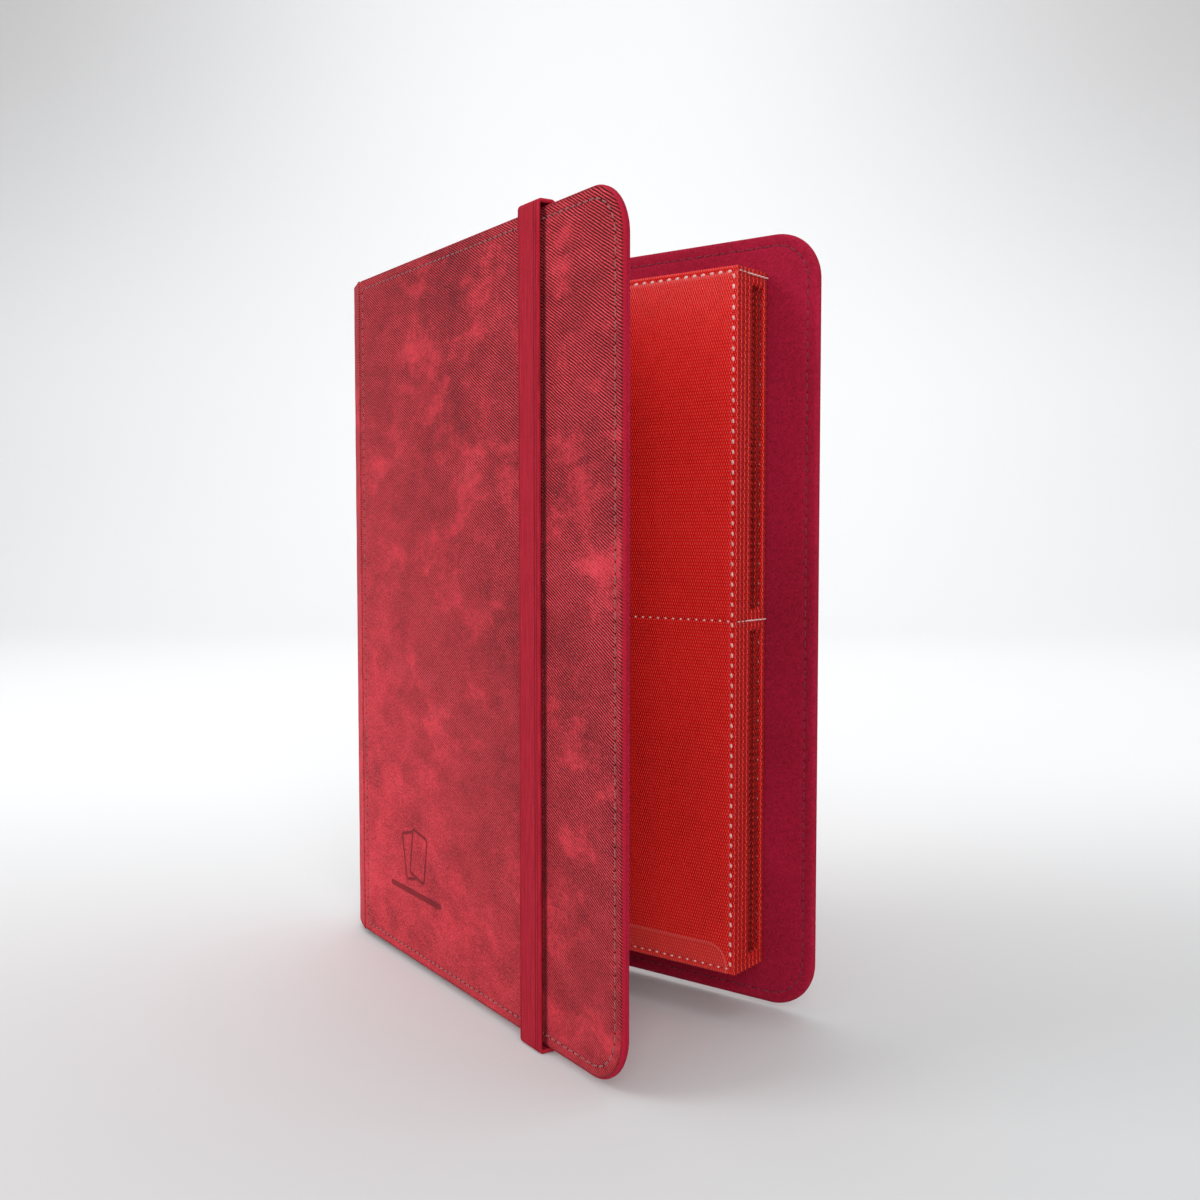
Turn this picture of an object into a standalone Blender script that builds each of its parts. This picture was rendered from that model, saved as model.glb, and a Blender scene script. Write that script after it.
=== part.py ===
"""Trading card binder: a stitched two-cover album with a card-page block and an elastic band.

Frame while modelling (design frame, millimetres in the constants, metres in the meshes):
    +X  from the spine towards the fore edge of the back cover, whose fore edge is at X = 0
    +Y  from the front cover towards the back cover, whose inner face is at Y = 0
    +Z  up the spine; Z = 0 is the underside of the elastic band that the binder stands on
The root empty then shifts everything so that the origin is the centre of the bounding box's base.

The binder stands half open: the front cover is turned OPEN_DEG away from its closed place.
"""

import math

import bmesh
import bpy
from mathutils import Matrix, Vector

MM = 0.001

# ---------------------------------------------------------------- driving dimensions, mm
COVER_H = 230.0          # cover height
COVER_W = 165.0          # cover panel, spine end to fore edge
COVER_T = 2.7            # leather + board + lining
SKIN_T = 0.55            # leather thickness
LINING_T = 0.50          # lining thickness
LAYER_GAP = 0.10         # glue-line gap between the layers of a cover
RIM_WALL = 0.60          # turned-in edge of leather and lining
CORNER_R = 14.5          # fore-edge corners
SPINE_CORNER_R = 1.2     # spine-side corners
STITCH_INSET = 3.5       # seam from the cover's edge
THREAD_W = 0.60          # thread width
THREAD_H = 0.22          # how far the thread stands proud
THREAD_GAP = 0.06

OPEN_DEG = 19.305        # how far the front cover is open at rest
HINGE_X = -175.2         # both cover hinge lines
FRONT_HINGE_Y = -19.4
BACK_HINGE_Y = -0.1
SPINE_OUT_X = -178.0     # outer face of the spine
SPINE_Y0, SPINE_Y1 = -15.9, -3.6
STRIP_SHORT = 1.0        # spine and hinge strips stop this far inside the cover's height

LEAF_COUNT = 8
LEAF_AXIS_X, LEAF_AXIS_Y = -165.0, -8.85
LEAF_X0, LEAF_X1 = -161.0, -16.1
LEAF_MARGIN = 12.5       # cover edge to leaf edge, at the foot
LEAF_HEAD = 11.4         # cover edge to leaf edge, at the head
LEAF_FRONT_Y = -17.3     # face of the first leaf
LEAF_PITCH = 2.106
LEAF_CORNER_R = 2.0
FILM_T = 0.25
BACKING_T = 0.65
POCKET_GAP = 0.15        # empty pocket between film and backing
PAGE_THREAD_W = 0.5
PAGE_THREAD_H = 0.12
PAGE_SEAM_FORE = 2.0     # seam from the fore edge
PAGE_SEAM_TOP = 1.6      # seam from the top and bottom edges
PAGE_MID = 0.4949         # middle seam, as a share of the page height from the top

SLEEVE_R, SLEEVE_BORE, CORD_R = 3.4, 2.7, 2.5

BAND_W = 11.0
BAND_T = 1.2
BAND_LIFT = 0.7          # the band stands this far off the leather
BAND_FROM_FORE = 38.0    # fore edge to the band's near side
BAND_TAIL = 11.0         # length of the tails sewn to the lining
TAIL_LIFT = 0.4

COVER_Z0 = BAND_T + BAND_LIFT
COVER_Z1 = COVER_Z0 + COVER_H


# ---------------------------------------------------------------- clean start
for old in list(bpy.data.objects):
    bpy.data.objects.remove(old, do_unlink=True)


# ---------------------------------------------------------------- materials
def material(name, colour, roughness, metallic=0.0, alpha=1.0):
    m = bpy.data.materials.new(name)
    m.use_nodes = True
    b = m.node_tree.nodes["Principled BSDF"]
    b.inputs["Base Color"].default_value = (*colour, 1.0)
    b.inputs["Roughness"].default_value = roughness
    b.inputs["Metallic"].default_value = metallic
    b.inputs["Alpha"].default_value = alpha
    m.diffuse_color = (*colour, alpha)
    return m


MATERIALS = {
    "cover_leather": material("cover_leather", (0.42, 0.045, 0.075), 0.75),
    "cover_lining": material("cover_lining", (0.25, 0.01, 0.03), 0.85),
    "cover_board": material("cover_board", (0.35, 0.30, 0.25), 0.9),
    "cover_thread": material("cover_thread", (0.30, 0.10, 0.11), 0.7),
    "elastic": material("elastic", (0.40, 0.02, 0.05), 0.7),
    "page_fabric": material("page_fabric", (0.50, 0.02, 0.02), 0.55),
    "page_film": material("page_film", (0.85, 0.25, 0.25), 0.2, alpha=0.35),
    "page_thread": material("page_thread", (0.80, 0.45, 0.45), 0.6),
    "binding_cloth": material("binding_cloth", (0.30, 0.01, 0.02), 0.8),
    "binding_cord": material("binding_cord", (0.45, 0.40, 0.35), 0.8),
}


# ---------------------------------------------------------------- building blocks
def empty(name, parent, x=0.0, y=0.0, z=0.0, turn_deg=0.0):
    e = bpy.data.objects.new(name, None)
    bpy.context.scene.collection.objects.link(e)
    e.parent = parent
    e.location = (x * MM, y * MM, z * MM)
    e.rotation_euler = (0.0, 0.0, math.radians(turn_deg))
    e.empty_display_size = 0.01
    return e


def link(name, bm, parent, mat, smooth=False):
    bmesh.ops.recalc_face_normals(bm, faces=bm.faces)
    mesh = bpy.data.meshes.new(name)
    bm.to_mesh(mesh)
    bm.free()
    if smooth:
        mesh.shade_smooth()
        mesh.set_sharp_from_angle(angle=math.radians(35))
    mesh.materials.append(MATERIALS[mat])
    o = bpy.data.objects.new(name, mesh)
    bpy.context.scene.collection.objects.link(o)
    o.parent = parent
    return o


def loft(loops, closed=False):
    """Joins loops of equal length into one solid, capped at both ends, or joined end to start."""
    bm = bmesh.new()
    rings = [[bm.verts.new(Vector(p) * MM) for p in loop] for loop in loops]
    count = len(rings[0])
    pairs = list(zip(rings, rings[1:]))
    if closed:
        pairs.append((rings[-1], rings[0]))
    for a, b in pairs:
        for i in range(count):
            j = (i + 1) % count
            bm.faces.new((a[i], a[j], b[j], b[i]))
    if not closed:
        bm.faces.new(rings[0])
        bm.faces.new(rings[-1])
    return bm


def outline(x0, x1, z0, z1, r0, r1, inset=0.0):
    """Rounded panel outline in X and Z: r0 at the spine-side corners, r1 at the fore-edge corners.
    Insetting keeps the number of points, so that outlines can be lofted to each other."""
    x0, x1, z0, z1 = x0 + inset, x1 - inset, z0 + inset, z1 - inset
    r0, r1 = max(r0 - inset, 0.15), max(r1 - inset, 0.15)
    points = []
    for cx, cz, r, start, steps in (
        (x1 - r1, z0 + r1, r1, -90, 9),
        (x1 - r1, z1 - r1, r1, 0, 9),
        (x0 + r0, z1 - r0, r0, 90, 3),
        (x0 + r0, z0 + r0, r0, 180, 3),
    ):
        for i in range(steps + 1):
            a = math.radians(start + 90.0 * i / steps)
            points.append((cx + r * math.cos(a), cz + r * math.sin(a)))
    return points


def at_y(points, y):
    return [(x, y, z) for x, z in points]


def prism_z(section, z0, z1):
    """A section in X and Y, drawn up from z0 to z1."""
    return loft([[(x, y, z) for x, y in section] for z in (z0, z1)])


def ribbon(line, thickness):
    """Closed section of a strip that follows a line of points, half its thickness to each side."""
    left, right = [], []
    for i, p in enumerate(line):
        a, b = line[max(i - 1, 0)], line[min(i + 1, len(line) - 1)]
        t = (Vector(b) - Vector(a)).normalized()
        n = Vector((-t.y, t.x)) * thickness / 2
        left.append((p[0] + n.x, p[1] + n.y))
        right.append((p[0] - n.x, p[1] - n.y))
    return left + right[::-1]


def bezier(a, b, c, count):
    """Points of the quadratic curve from a to c that b pulls on."""
    out = []
    for i in range(count + 1):
        t = i / count
        out.append(
            tuple(
                (1 - t) ** 2 * p + 2 * t * (1 - t) * q + t * t * r
                for p, q, r in zip(a, b, c)
            )
        )
    return out


def lattice(xs, zs, filled, y0, y1):
    """A flat grillage: the filled cells of a grid of lines xs by zs, from y0 to y1."""
    bm = bmesh.new()
    cells = {
        (i, j)
        for i in range(len(xs) - 1)
        for j in range(len(zs) - 1)
        if filled(i, j)
    }
    corner = {}

    def vert(i, j, y):
        key = (i, j, y)
        if key not in corner:
            corner[key] = bm.verts.new(Vector((xs[i], y, zs[j])) * MM)
        return corner[key]

    for i, j in sorted(cells):
        for y in (y0, y1):
            bm.faces.new(
                [vert(i, j, y), vert(i + 1, j, y), vert(i + 1, j + 1, y), vert(i, j + 1, y)]
            )
        for di, dj, a, b in (
            (-1, 0, (i, j), (i, j + 1)),
            (1, 0, (i + 1, j), (i + 1, j + 1)),
            (0, -1, (i, j), (i + 1, j)),
            (0, 1, (i, j + 1), (i + 1, j + 1)),
        ):
            if (i + di, j + dj) not in cells:
                bm.faces.new([vert(*a, y0), vert(*b, y0), vert(*b, y1), vert(*a, y1)])
    return bm


def frame_ring(points_out, points_in, y0, y1):
    return loft(
        [at_y(points_out, y0), at_y(points_out, y1), at_y(points_in, y1), at_y(points_in, y0)],
        closed=True,
    )


# ---------------------------------------------------------------- bodies
root = empty("binder", None)
spine_turn = empty("spine_hinge", root, HINGE_X, BACK_HINGE_Y)
# the spine's pieces are drawn in the design frame, so this empty takes the hinge line back out
spine_frame = empty("spine_pieces", spine_turn, -HINGE_X, -BACK_HINGE_Y)
front_turn = empty("front_cover_hinge", spine_frame, HINGE_X, FRONT_HINGE_Y, 0.0, -OPEN_DEG)
leaf_turns = {}
above = root
for k in range(LEAF_COUNT, 0, -1):
    if above is root:
        leaf_turns[k] = empty(f"leaf_{k:02d}_hinge", root, LEAF_AXIS_X, LEAF_AXIS_Y)
    else:
        leaf_turns[k] = empty(f"leaf_{k:02d}_hinge", above)
    above = leaf_turns[k]


# ---------------------------------------------------------------- a cover: board, leather, lining, two threads
def cover(prefix, parent, x0, inner_y, out):
    """out is +1 where the outer face looks along +Y, -1 where it looks along -Y."""
    x1 = x0 + COVER_W
    args = (x0, x1, COVER_Z0, COVER_Z1, SPINE_CORNER_R, CORNER_R)

    def y(depth):
        """depth from the lining's face towards the leather's face"""
        return inner_y + out * depth

    seam = 1.35
    leather = loft(
        [
            at_y(outline(*args, inset=0.45), y(COVER_T)),
            at_y(outline(*args, inset=0.12), y(COVER_T - 0.12)),
            at_y(outline(*args), y(COVER_T - 0.45)),
            at_y(outline(*args), y(seam + 0.05)),
            at_y(outline(*args, inset=RIM_WALL), y(seam + 0.05)),
            at_y(outline(*args, inset=RIM_WALL), y(COVER_T - SKIN_T)),
        ]
    )
    link(f"{prefix}_leather", leather, parent, "cover_leather", smooth=True)
    lining = loft(
        [
            at_y(outline(*args, inset=0.40), y(0.0)),
            at_y(outline(*args, inset=0.10), y(0.10)),
            at_y(outline(*args), y(0.40)),
            at_y(outline(*args), y(seam - 0.05)),
            at_y(outline(*args, inset=RIM_WALL), y(seam - 0.05)),
            at_y(outline(*args, inset=RIM_WALL), y(LINING_T)),
        ]
    )
    link(f"{prefix}_lining", lining, parent, "cover_lining", smooth=True)
    board_in = RIM_WALL + LAYER_GAP
    board = loft(
        [
            at_y(outline(*args, inset=board_in), y(LINING_T + LAYER_GAP)),
            at_y(outline(*args, inset=board_in), y(COVER_T - SKIN_T - LAYER_GAP)),
        ]
    )
    link(f"{prefix}_board", board, parent, "cover_board")
    ring_out = outline(*args, inset=STITCH_INSET - THREAD_W / 2)
    ring_in = outline(*args, inset=STITCH_INSET + THREAD_W / 2)
    needle = frame_ring(
        ring_out, ring_in, y(COVER_T + THREAD_GAP), y(COVER_T + THREAD_GAP + THREAD_H)
    )
    link(f"{prefix}_needle_thread", needle, parent, "cover_thread")
    bobbin = frame_ring(ring_out, ring_in, y(-THREAD_GAP), y(-THREAD_GAP - THREAD_H))
    link(f"{prefix}_bobbin_thread", bobbin, parent, "cover_thread")


FRONT_X0 = -COVER_W - HINGE_X                 # spine end of the front panel, from its hinge line
FRONT_INNER_Y = -0.1                          # lining face, from the hinge line
cover("back_cover", root, -COVER_W, 0.0, +1)
cover("front_cover", front_turn, FRONT_X0, FRONT_INNER_Y, -1)


# ---------------------------------------------------------------- spine
STRIP_Z0, STRIP_Z1 = COVER_Z0 + STRIP_SHORT, COVER_Z1 - STRIP_SHORT


def slab(name, parent, mat, x0, x1, y0, y1, z0, z1, soft=0.12):
    """A flat strip with its long edges eased."""
    section = [
        (x0 + soft, y0), (x1 - soft, y0), (x1, y0 + soft), (x1, y1 - soft),
        (x1 - soft, y1), (x0 + soft, y1), (x0, y1 - soft), (x0, y0 + soft),
    ]
    link(name, prism_z(section, z0, z1), parent, mat)


x = SPINE_OUT_X
slab("spine_leather", spine_frame, "cover_leather", x, x + SKIN_T, SPINE_Y0, SPINE_Y1, STRIP_Z0, STRIP_Z1)
x += SKIN_T + LAYER_GAP
SPINE_BOARD_T = COVER_T - SKIN_T - LINING_T - 2 * LAYER_GAP
slab("spine_board", spine_frame, "cover_board", x, x + SPINE_BOARD_T, SPINE_Y0 - 0.1, SPINE_Y1 + 0.1,
     STRIP_Z0 + 0.7, STRIP_Z1 - 0.7)
x += SPINE_BOARD_T + LAYER_GAP
slab("spine_lining", spine_frame, "cover_lining", x, x + LINING_T, SPINE_Y0, SPINE_Y1, STRIP_Z0, STRIP_Z1)
SPINE_LINING_MID_X = x + LINING_T / 2


# ---------------------------------------------------------------- flexible strips over the two hinge lines
def from_front(px, py):
    """A point given from the front hinge line, in the front cover's closed direction, in the design frame."""
    v = Matrix.Rotation(math.radians(-OPEN_DEG), 2) @ Vector((px, py))
    return (HINGE_X + v.x, FRONT_HINGE_Y + v.y)


START_GAP = 0.45


def leather_strip(name, start, hinge_y, sign, spine_y):
    """Leather from the panel's outer edge, past the hinge line, round to the spine's outer face."""
    bend = Vector((HINGE_X - 0.7, hinge_y + sign * 0.65))
    run = (bend - Vector(start)).normalized()
    inward = Vector((-run.y, run.x)) * (-sign)
    half = SKIN_T / 2
    a = Vector(start) + run * START_GAP + inward * half
    b = bend + inward * half
    c = Vector((SPINE_OUT_X + half, spine_y - sign * 0.1))
    line = [a.lerp(b, i / 4) for i in range(4)]
    line += [Vector(p) for p in bezier(b, (SPINE_OUT_X + half + 0.1, spine_y - sign * 1.5), c, 6)]
    link(name, prism_z(ribbon([tuple(p) for p in line], SKIN_T), STRIP_Z0, STRIP_Z1),
         spine_frame, "cover_leather", smooth=True)


def lining_strip(name, start, pull, end):
    line = bezier(start, pull, end, 8)
    link(name, prism_z(ribbon(line, LINING_T), STRIP_Z0, STRIP_Z1), spine_frame, "cover_lining", smooth=True)


leather_strip("front_hinge_leather", from_front(FRONT_X0, FRONT_INNER_Y - COVER_T), FRONT_HINGE_Y, +1, SPINE_Y0)
leather_strip("back_hinge_leather", (-COVER_W, COVER_T), BACK_HINGE_Y, -1, SPINE_Y1)
lining_strip("front_hinge_lining", from_front(FRONT_X0 - 0.5, FRONT_INNER_Y - LINING_T / 2 - 0.05),
             (-172.5, -19.2), (SPINE_LINING_MID_X, SPINE_Y0 - 0.4))
lining_strip("back_hinge_lining", (-COVER_W - START_GAP, LINING_T / 2), (-171.5, -0.3),
             (SPINE_LINING_MID_X, SPINE_Y1 + 0.4))


# ---------------------------------------------------------------- how the page block is held
PAGE_Z0, PAGE_Z1 = COVER_Z0 + LEAF_MARGIN, COVER_Z1 - LEAF_HEAD


def circle(cx, cy, r, count):
    return [
        (cx + r * math.cos(2 * math.pi * i / count), cy + r * math.sin(2 * math.pi * i / count))
        for i in range(count)
    ]


tape = [  # a flange glued to the back lining, with a web that reaches out to the sleeve
    (LEAF_AXIS_X - 1.8, -0.30), (LEAF_AXIS_X - 1.8, -0.85), (LEAF_AXIS_X - 1.0, -0.85),
    (LEAF_AXIS_X - 1.0, LEAF_AXIS_Y + SLEEVE_R + 0.3), (LEAF_AXIS_X + 1.0, LEAF_AXIS_Y + SLEEVE_R + 0.3),
    (LEAF_AXIS_X + 1.0, -0.85), (LEAF_AXIS_X + 3.4, -0.85), (LEAF_AXIS_X + 3.4, -0.30),
]
link("binding_tape", prism_z(tape, PAGE_Z0, PAGE_Z1), root, "binding_cloth")
tube = []
for r, zs in ((SLEEVE_R, (PAGE_Z0, PAGE_Z1)), (SLEEVE_BORE, (PAGE_Z1, PAGE_Z0))):
    for z in zs:
        tube.append([(px, py, z) for px, py in circle(LEAF_AXIS_X, LEAF_AXIS_Y, r, 20)])
link("binding_sleeve", loft(tube, closed=True), root, "binding_cloth", smooth=True)
link("binding_cord", prism_z(circle(LEAF_AXIS_X, LEAF_AXIS_Y, CORD_R, 16), PAGE_Z0 - 2.0, PAGE_Z1 + 2.0),
     root, "binding_cord", smooth=True)


# ---------------------------------------------------------------- leaves: backing cloth, a clear film on each side, seam thread
def page_sheet(name, parent, mat, y0, y1, inset):
    args = (LEAF_X0, LEAF_X1, PAGE_Z0, PAGE_Z1, 0.6, LEAF_CORNER_R)
    points = [(px - LEAF_AXIS_X, pz) for px, pz in outline(*args, inset=inset)]
    link(name, loft([at_y(points, y0 - LEAF_AXIS_Y), at_y(points, y1 - LEAF_AXIS_Y)]), parent, mat)


mid_z = PAGE_Z1 - PAGE_MID * (PAGE_Z1 - PAGE_Z0)
mid_x = (LEAF_X0 + LEAF_X1) / 2
half_t = PAGE_THREAD_W / 2
seam_xs, seam_zs = [], []
for px in (LEAF_X0 + PAGE_SEAM_FORE, mid_x, LEAF_X1 - PAGE_SEAM_FORE):
    seam_xs += [px - half_t - LEAF_AXIS_X, px + half_t - LEAF_AXIS_X]
for pz in (PAGE_Z0 + PAGE_SEAM_TOP, mid_z, PAGE_Z1 - PAGE_SEAM_TOP):
    seam_zs += [pz - half_t, pz + half_t]

for k in range(1, LEAF_COUNT + 1):
    y = LEAF_FRONT_Y + (k - 1) * LEAF_PITCH
    turn = leaf_turns[k]
    thread = lattice(seam_xs, seam_zs, lambda i, j: i % 2 == 0 or j % 2 == 0,
                     y - LEAF_AXIS_Y, y + PAGE_THREAD_H - LEAF_AXIS_Y)
    link(f"leaf_{k:02d}_seam_thread", thread, turn, "page_thread")
    y += PAGE_THREAD_H + 0.05
    page_sheet(f"leaf_{k:02d}_front_film", turn, "page_film", y, y + FILM_T, 0.25)
    y += FILM_T + POCKET_GAP
    page_sheet(f"leaf_{k:02d}_backing", turn, "page_fabric", y, y + BACKING_T, 0.0)
    y += BACKING_T + POCKET_GAP
    page_sheet(f"leaf_{k:02d}_back_film", turn, "page_film", y, y + FILM_T, 0.25)


# ---------------------------------------------------------------- elastic band round the front cover
fore_x = FRONT_X0 + COVER_W
bx1 = fore_x - BAND_FROM_FORE
bx0 = bx1 - BAND_W
out_y = FRONT_INNER_Y - COVER_T                 # leather face, from the hinge line
y_far = out_y - BAND_LIFT - BAND_T              # band's outer face
y_near = out_y - BAND_LIFT
t_near = FRONT_INNER_Y + TAIL_LIFT              # tail, on the lining side
t_far = t_near + BAND_T
band_mid = (bx0 + bx1) / 2
band_slide = empty("elastic_band_slide", front_turn, band_mid, out_y, COVER_Z0 + COVER_H / 2)
band_frame = empty("elastic_band_pieces", band_slide, -band_mid, -out_y, -(COVER_Z0 + COVER_H / 2))


def eased_box(name, parent, mat, x0, x1, y0, y1, z0, z1, e=0.3):
    """A flat webbing length: a rectangle in X and Y with its edges eased, drawn up in Z."""
    section = [
        (x0 + e, y0), (x1 - e, y0), (x1, y0 + e), (x1, y1 - e),
        (x1 - e, y1), (x0 + e, y1), (x0, y1 - e), (x0, y0 + e),
    ]
    link(name, prism_z(section, z0, z1), parent, mat)


JOIN = 0.1
eased_box("band_strip", band_frame, "elastic", bx0, bx1, y_far, y_near,
          BAND_T + JOIN, COVER_Z1 + BAND_LIFT - JOIN)


def over_edge(name, z_far, z_near):
    """The short length of band that passes over the cover's top or bottom edge, its outer corners rounded."""
    up = 1 if z_far > z_near else -1
    r = 0.9
    section = [(y_far, z_near)]
    for i in range(5):
        a = math.radians(180 - 90 * i / 4)
        section.append((y_far + r + r * math.cos(a), z_far - up * r + up * r * math.sin(a)))
    for i in range(5):
        a = math.radians(90 - 90 * i / 4)
        section.append((t_far - r + r * math.cos(a), z_far - up * r + up * r * math.sin(a)))
    section.append((t_far, z_near))
    link(name, loft([[(px, py, pz) for py, pz in section] for px in (bx0, bx1)]),
         band_frame, "elastic", smooth=True)


over_edge("band_bottom_return", 0.0, BAND_T)
over_edge("band_top_return", COVER_Z1 + BAND_LIFT + BAND_T, COVER_Z1 + BAND_LIFT)
eased_box("band_top_tail", front_turn, "elastic", bx0, bx1, t_near, t_far,
          COVER_Z1 + BAND_LIFT - JOIN - BAND_TAIL, COVER_Z1 + BAND_LIFT - JOIN)
eased_box("band_bottom_tail", front_turn, "elastic", bx0, bx1, t_near, t_far,
          BAND_T + JOIN, BAND_T + JOIN + BAND_TAIL)


# ---------------------------------------------------------------- origin: centre of the bounding box's base
bpy.context.view_layer.update()
low = Vector((1e9, 1e9, 1e9))
high = -low
for o in bpy.data.objects:
    if o.type == "MESH":
        for v in o.data.vertices:
            p = o.matrix_world @ v.co
            low = Vector(map(min, low, p))
            high = Vector(map(max, high, p))
root.location = (-(low.x + high.x) / 2, -(low.y + high.y) / 2, -low.z)
bpy.context.view_layer.update()
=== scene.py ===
"""Looks of a trading card binder: leather, lining, threads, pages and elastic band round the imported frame."""

import math

import bpy
import numpy as np
from mathutils import Matrix, Vector


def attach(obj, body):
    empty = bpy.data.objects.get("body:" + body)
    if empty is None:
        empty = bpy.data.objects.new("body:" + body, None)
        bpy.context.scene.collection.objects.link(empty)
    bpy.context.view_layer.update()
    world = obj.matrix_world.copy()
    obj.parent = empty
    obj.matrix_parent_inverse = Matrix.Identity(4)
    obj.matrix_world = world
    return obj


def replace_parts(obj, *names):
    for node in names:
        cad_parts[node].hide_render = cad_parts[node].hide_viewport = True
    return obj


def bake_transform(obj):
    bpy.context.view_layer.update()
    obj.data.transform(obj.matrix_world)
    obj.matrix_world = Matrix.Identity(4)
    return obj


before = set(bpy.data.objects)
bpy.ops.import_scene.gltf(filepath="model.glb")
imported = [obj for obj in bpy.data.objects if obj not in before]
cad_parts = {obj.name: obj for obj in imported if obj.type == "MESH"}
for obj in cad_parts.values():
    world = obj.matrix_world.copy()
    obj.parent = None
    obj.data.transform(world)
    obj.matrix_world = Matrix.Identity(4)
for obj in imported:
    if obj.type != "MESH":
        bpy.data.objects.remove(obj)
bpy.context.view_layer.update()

MM = 0.001
rng = np.random.default_rng(11)

# ================================================================ the object's own sizes, in mm, row frame
Z0, Z1 = 1.9, 231.9                      # covers, low and high
COVER_W, COVER_T = 165.0, 2.7
R_FORE, R_SPINE = 14.5, 1.2
SEAM = 3.5                               # seam line in from the edge
PITCH = 3.0                              # cover stitches
OPEN = math.radians(19.305)
FH = (-86.2, 19.01718)                   # front hinge line
BH = (-86.2, 38.31718)                   # back hinge line
BACK_IN = 38.41718                       # back cover's lining face
SPINE_OUT = -89.0
SPINE_Y0, SPINE_Y1 = 22.51718, 34.81718
STRIP_Z0, STRIP_Z1 = 2.9, 230.9
AXIS = (-76.0, 29.56718)                 # the leaves' common line
SLEEVE_R = 3.4
LEAF_X0, LEAF_X1 = -72.0, 72.9
PAGE_Z0, PAGE_Z1 = 14.4, 220.5
LEAF_FRONT, LEAF_STEP, LEAVES = 21.11718, 2.106, 8
MID_Z = PAGE_Z1 - 0.4949 * (PAGE_Z1 - PAGE_Z0)
MID_X = (LEAF_X0 + LEAF_X1) / 2
BAND_X0, BAND_X1 = 126.2, 137.2          # in the front cover's own direction, from its hinge line
CO, SI = math.cos(OPEN), math.sin(OPEN)


def front(x, y, z):
    """Points given in the closed front cover's directions, from its hinge line, to the row frame."""
    x, y, z = np.broadcast_arrays(np.asarray(x, float), np.asarray(y, float), np.asarray(z, float))
    return np.stack([FH[0] + x * CO + y * SI, FH[1] - x * SI + y * CO, z], -1)


def front_panel(u, d, v):
    """u from the hinge line, d from the lining's face outwards, v up."""
    return front(u, -0.1 - np.asarray(d, float), v)


def back_panel(u, d, v):
    u, d, v = np.broadcast_arrays(np.asarray(u, float), np.asarray(d, float), np.asarray(v, float))
    return np.stack([u, BACK_IN + d, v], -1)


# ================================================================ mesh helpers
def make(name, verts, faces, mats, pat=None, face_mat=None, smooth=True):
    mesh = bpy.data.meshes.new(name)
    verts = np.asarray(verts, float) * MM
    mesh.from_pydata(verts.tolist(), [], faces)
    mesh.validate()
    for m in mats:
        mesh.materials.append(m)
    if pat is not None:
        a = mesh.attributes.new("pat", "FLOAT_VECTOR", "POINT")
        a.data.foreach_set("vector", np.asarray(pat, np.float32).ravel())
    if face_mat is not None:
        mesh.polygons.foreach_set("material_index", np.asarray(face_mat, np.int32))
    mesh.polygons.foreach_set("use_smooth", np.full(len(mesh.polygons), smooth))
    mesh.update()
    o = bpy.data.objects.new(name, mesh)
    bpy.context.scene.collection.objects.link(o)
    return o


def ring_faces(rows, n, base=0, closed=True):
    """Quads between rows of n points each."""
    out = []
    last = n if closed else n - 1
    for r in range(rows - 1):
        a = base + r * n
        for j in range(last):
            k = (j + 1) % n
            out.append((a + j, a + k, a + n + k, a + n + j))
    return out


def signed_volume_dir(verts, faces, probe):
    """+1 if the first face looks along probe, else -1."""
    f = faces[0]
    p = np.asarray(verts)[list(f)]
    n = np.zeros(3)
    for i in range(len(p)):
        a, b = p[i], p[(i + 1) % len(p)]
        n += np.cross(a, b)
    return 1 if n @ np.asarray(probe) > 0 else -1


def ring(box, radii, arcs, edges, inset):
    """Points and outward normals of a rounded rectangle, inset by a distance. radii at (u1,v0), (u1,v1), (u0,v1), (u0,v0)."""
    u0, u1, v0, v1 = box
    corners = [(u1, v0), (u1, v1), (u0, v1), (u0, v0)]
    inward = [(-1, 1), (-1, -1), (1, -1), (1, 1)]
    first = [-90, 0, 90, 180]
    cs = []
    for (cu, cv), (iu, iv), r in zip(corners, inward, radii):
        reff = max(r - inset, 0.02)
        cs.append((cu + iu * (inset + reff), cv + iv * (inset + reff), reff))
    pts, nrm = [], []
    for k in range(4):
        cu, cv, r = cs[k]
        for j in range(arcs[k] + 1):
            a = math.radians(first[k] + 90 * j / arcs[k])
            pts.append((cu + r * math.cos(a), cv + r * math.sin(a)))
            nrm.append((math.cos(a), math.sin(a)))
        nu, nv, nr = cs[(k + 1) % 4]
        a = math.radians(first[(k + 1) % 4])
        end = (nu + nr * math.cos(a), nv + nr * math.sin(a))
        start = pts[-1]
        for j in range(1, edges[k]):
            t = j / edges[k]
            pts.append((start[0] + (end[0] - start[0]) * t, start[1] + (end[1] - start[1]) * t))
            nrm.append((math.cos(a), math.sin(a)))
    return np.array(pts), np.array(nrm)


def loop_length(p):
    q = np.roll(p, -1, 0)
    seg = np.linalg.norm(q - p, axis=1)
    return np.concatenate([[0], np.cumsum(seg)])


def wander(s, length, terms, size, seed):
    """A smooth closed random line along s, about +-size."""
    r = np.random.default_rng(seed)
    out = np.zeros_like(s)
    for k in range(1, terms + 1):
        out += r.normal() / math.sqrt(k) * np.sin(2 * np.pi * k * s / length + r.uniform(0, 6.28))
    return out * size / 1.6


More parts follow.
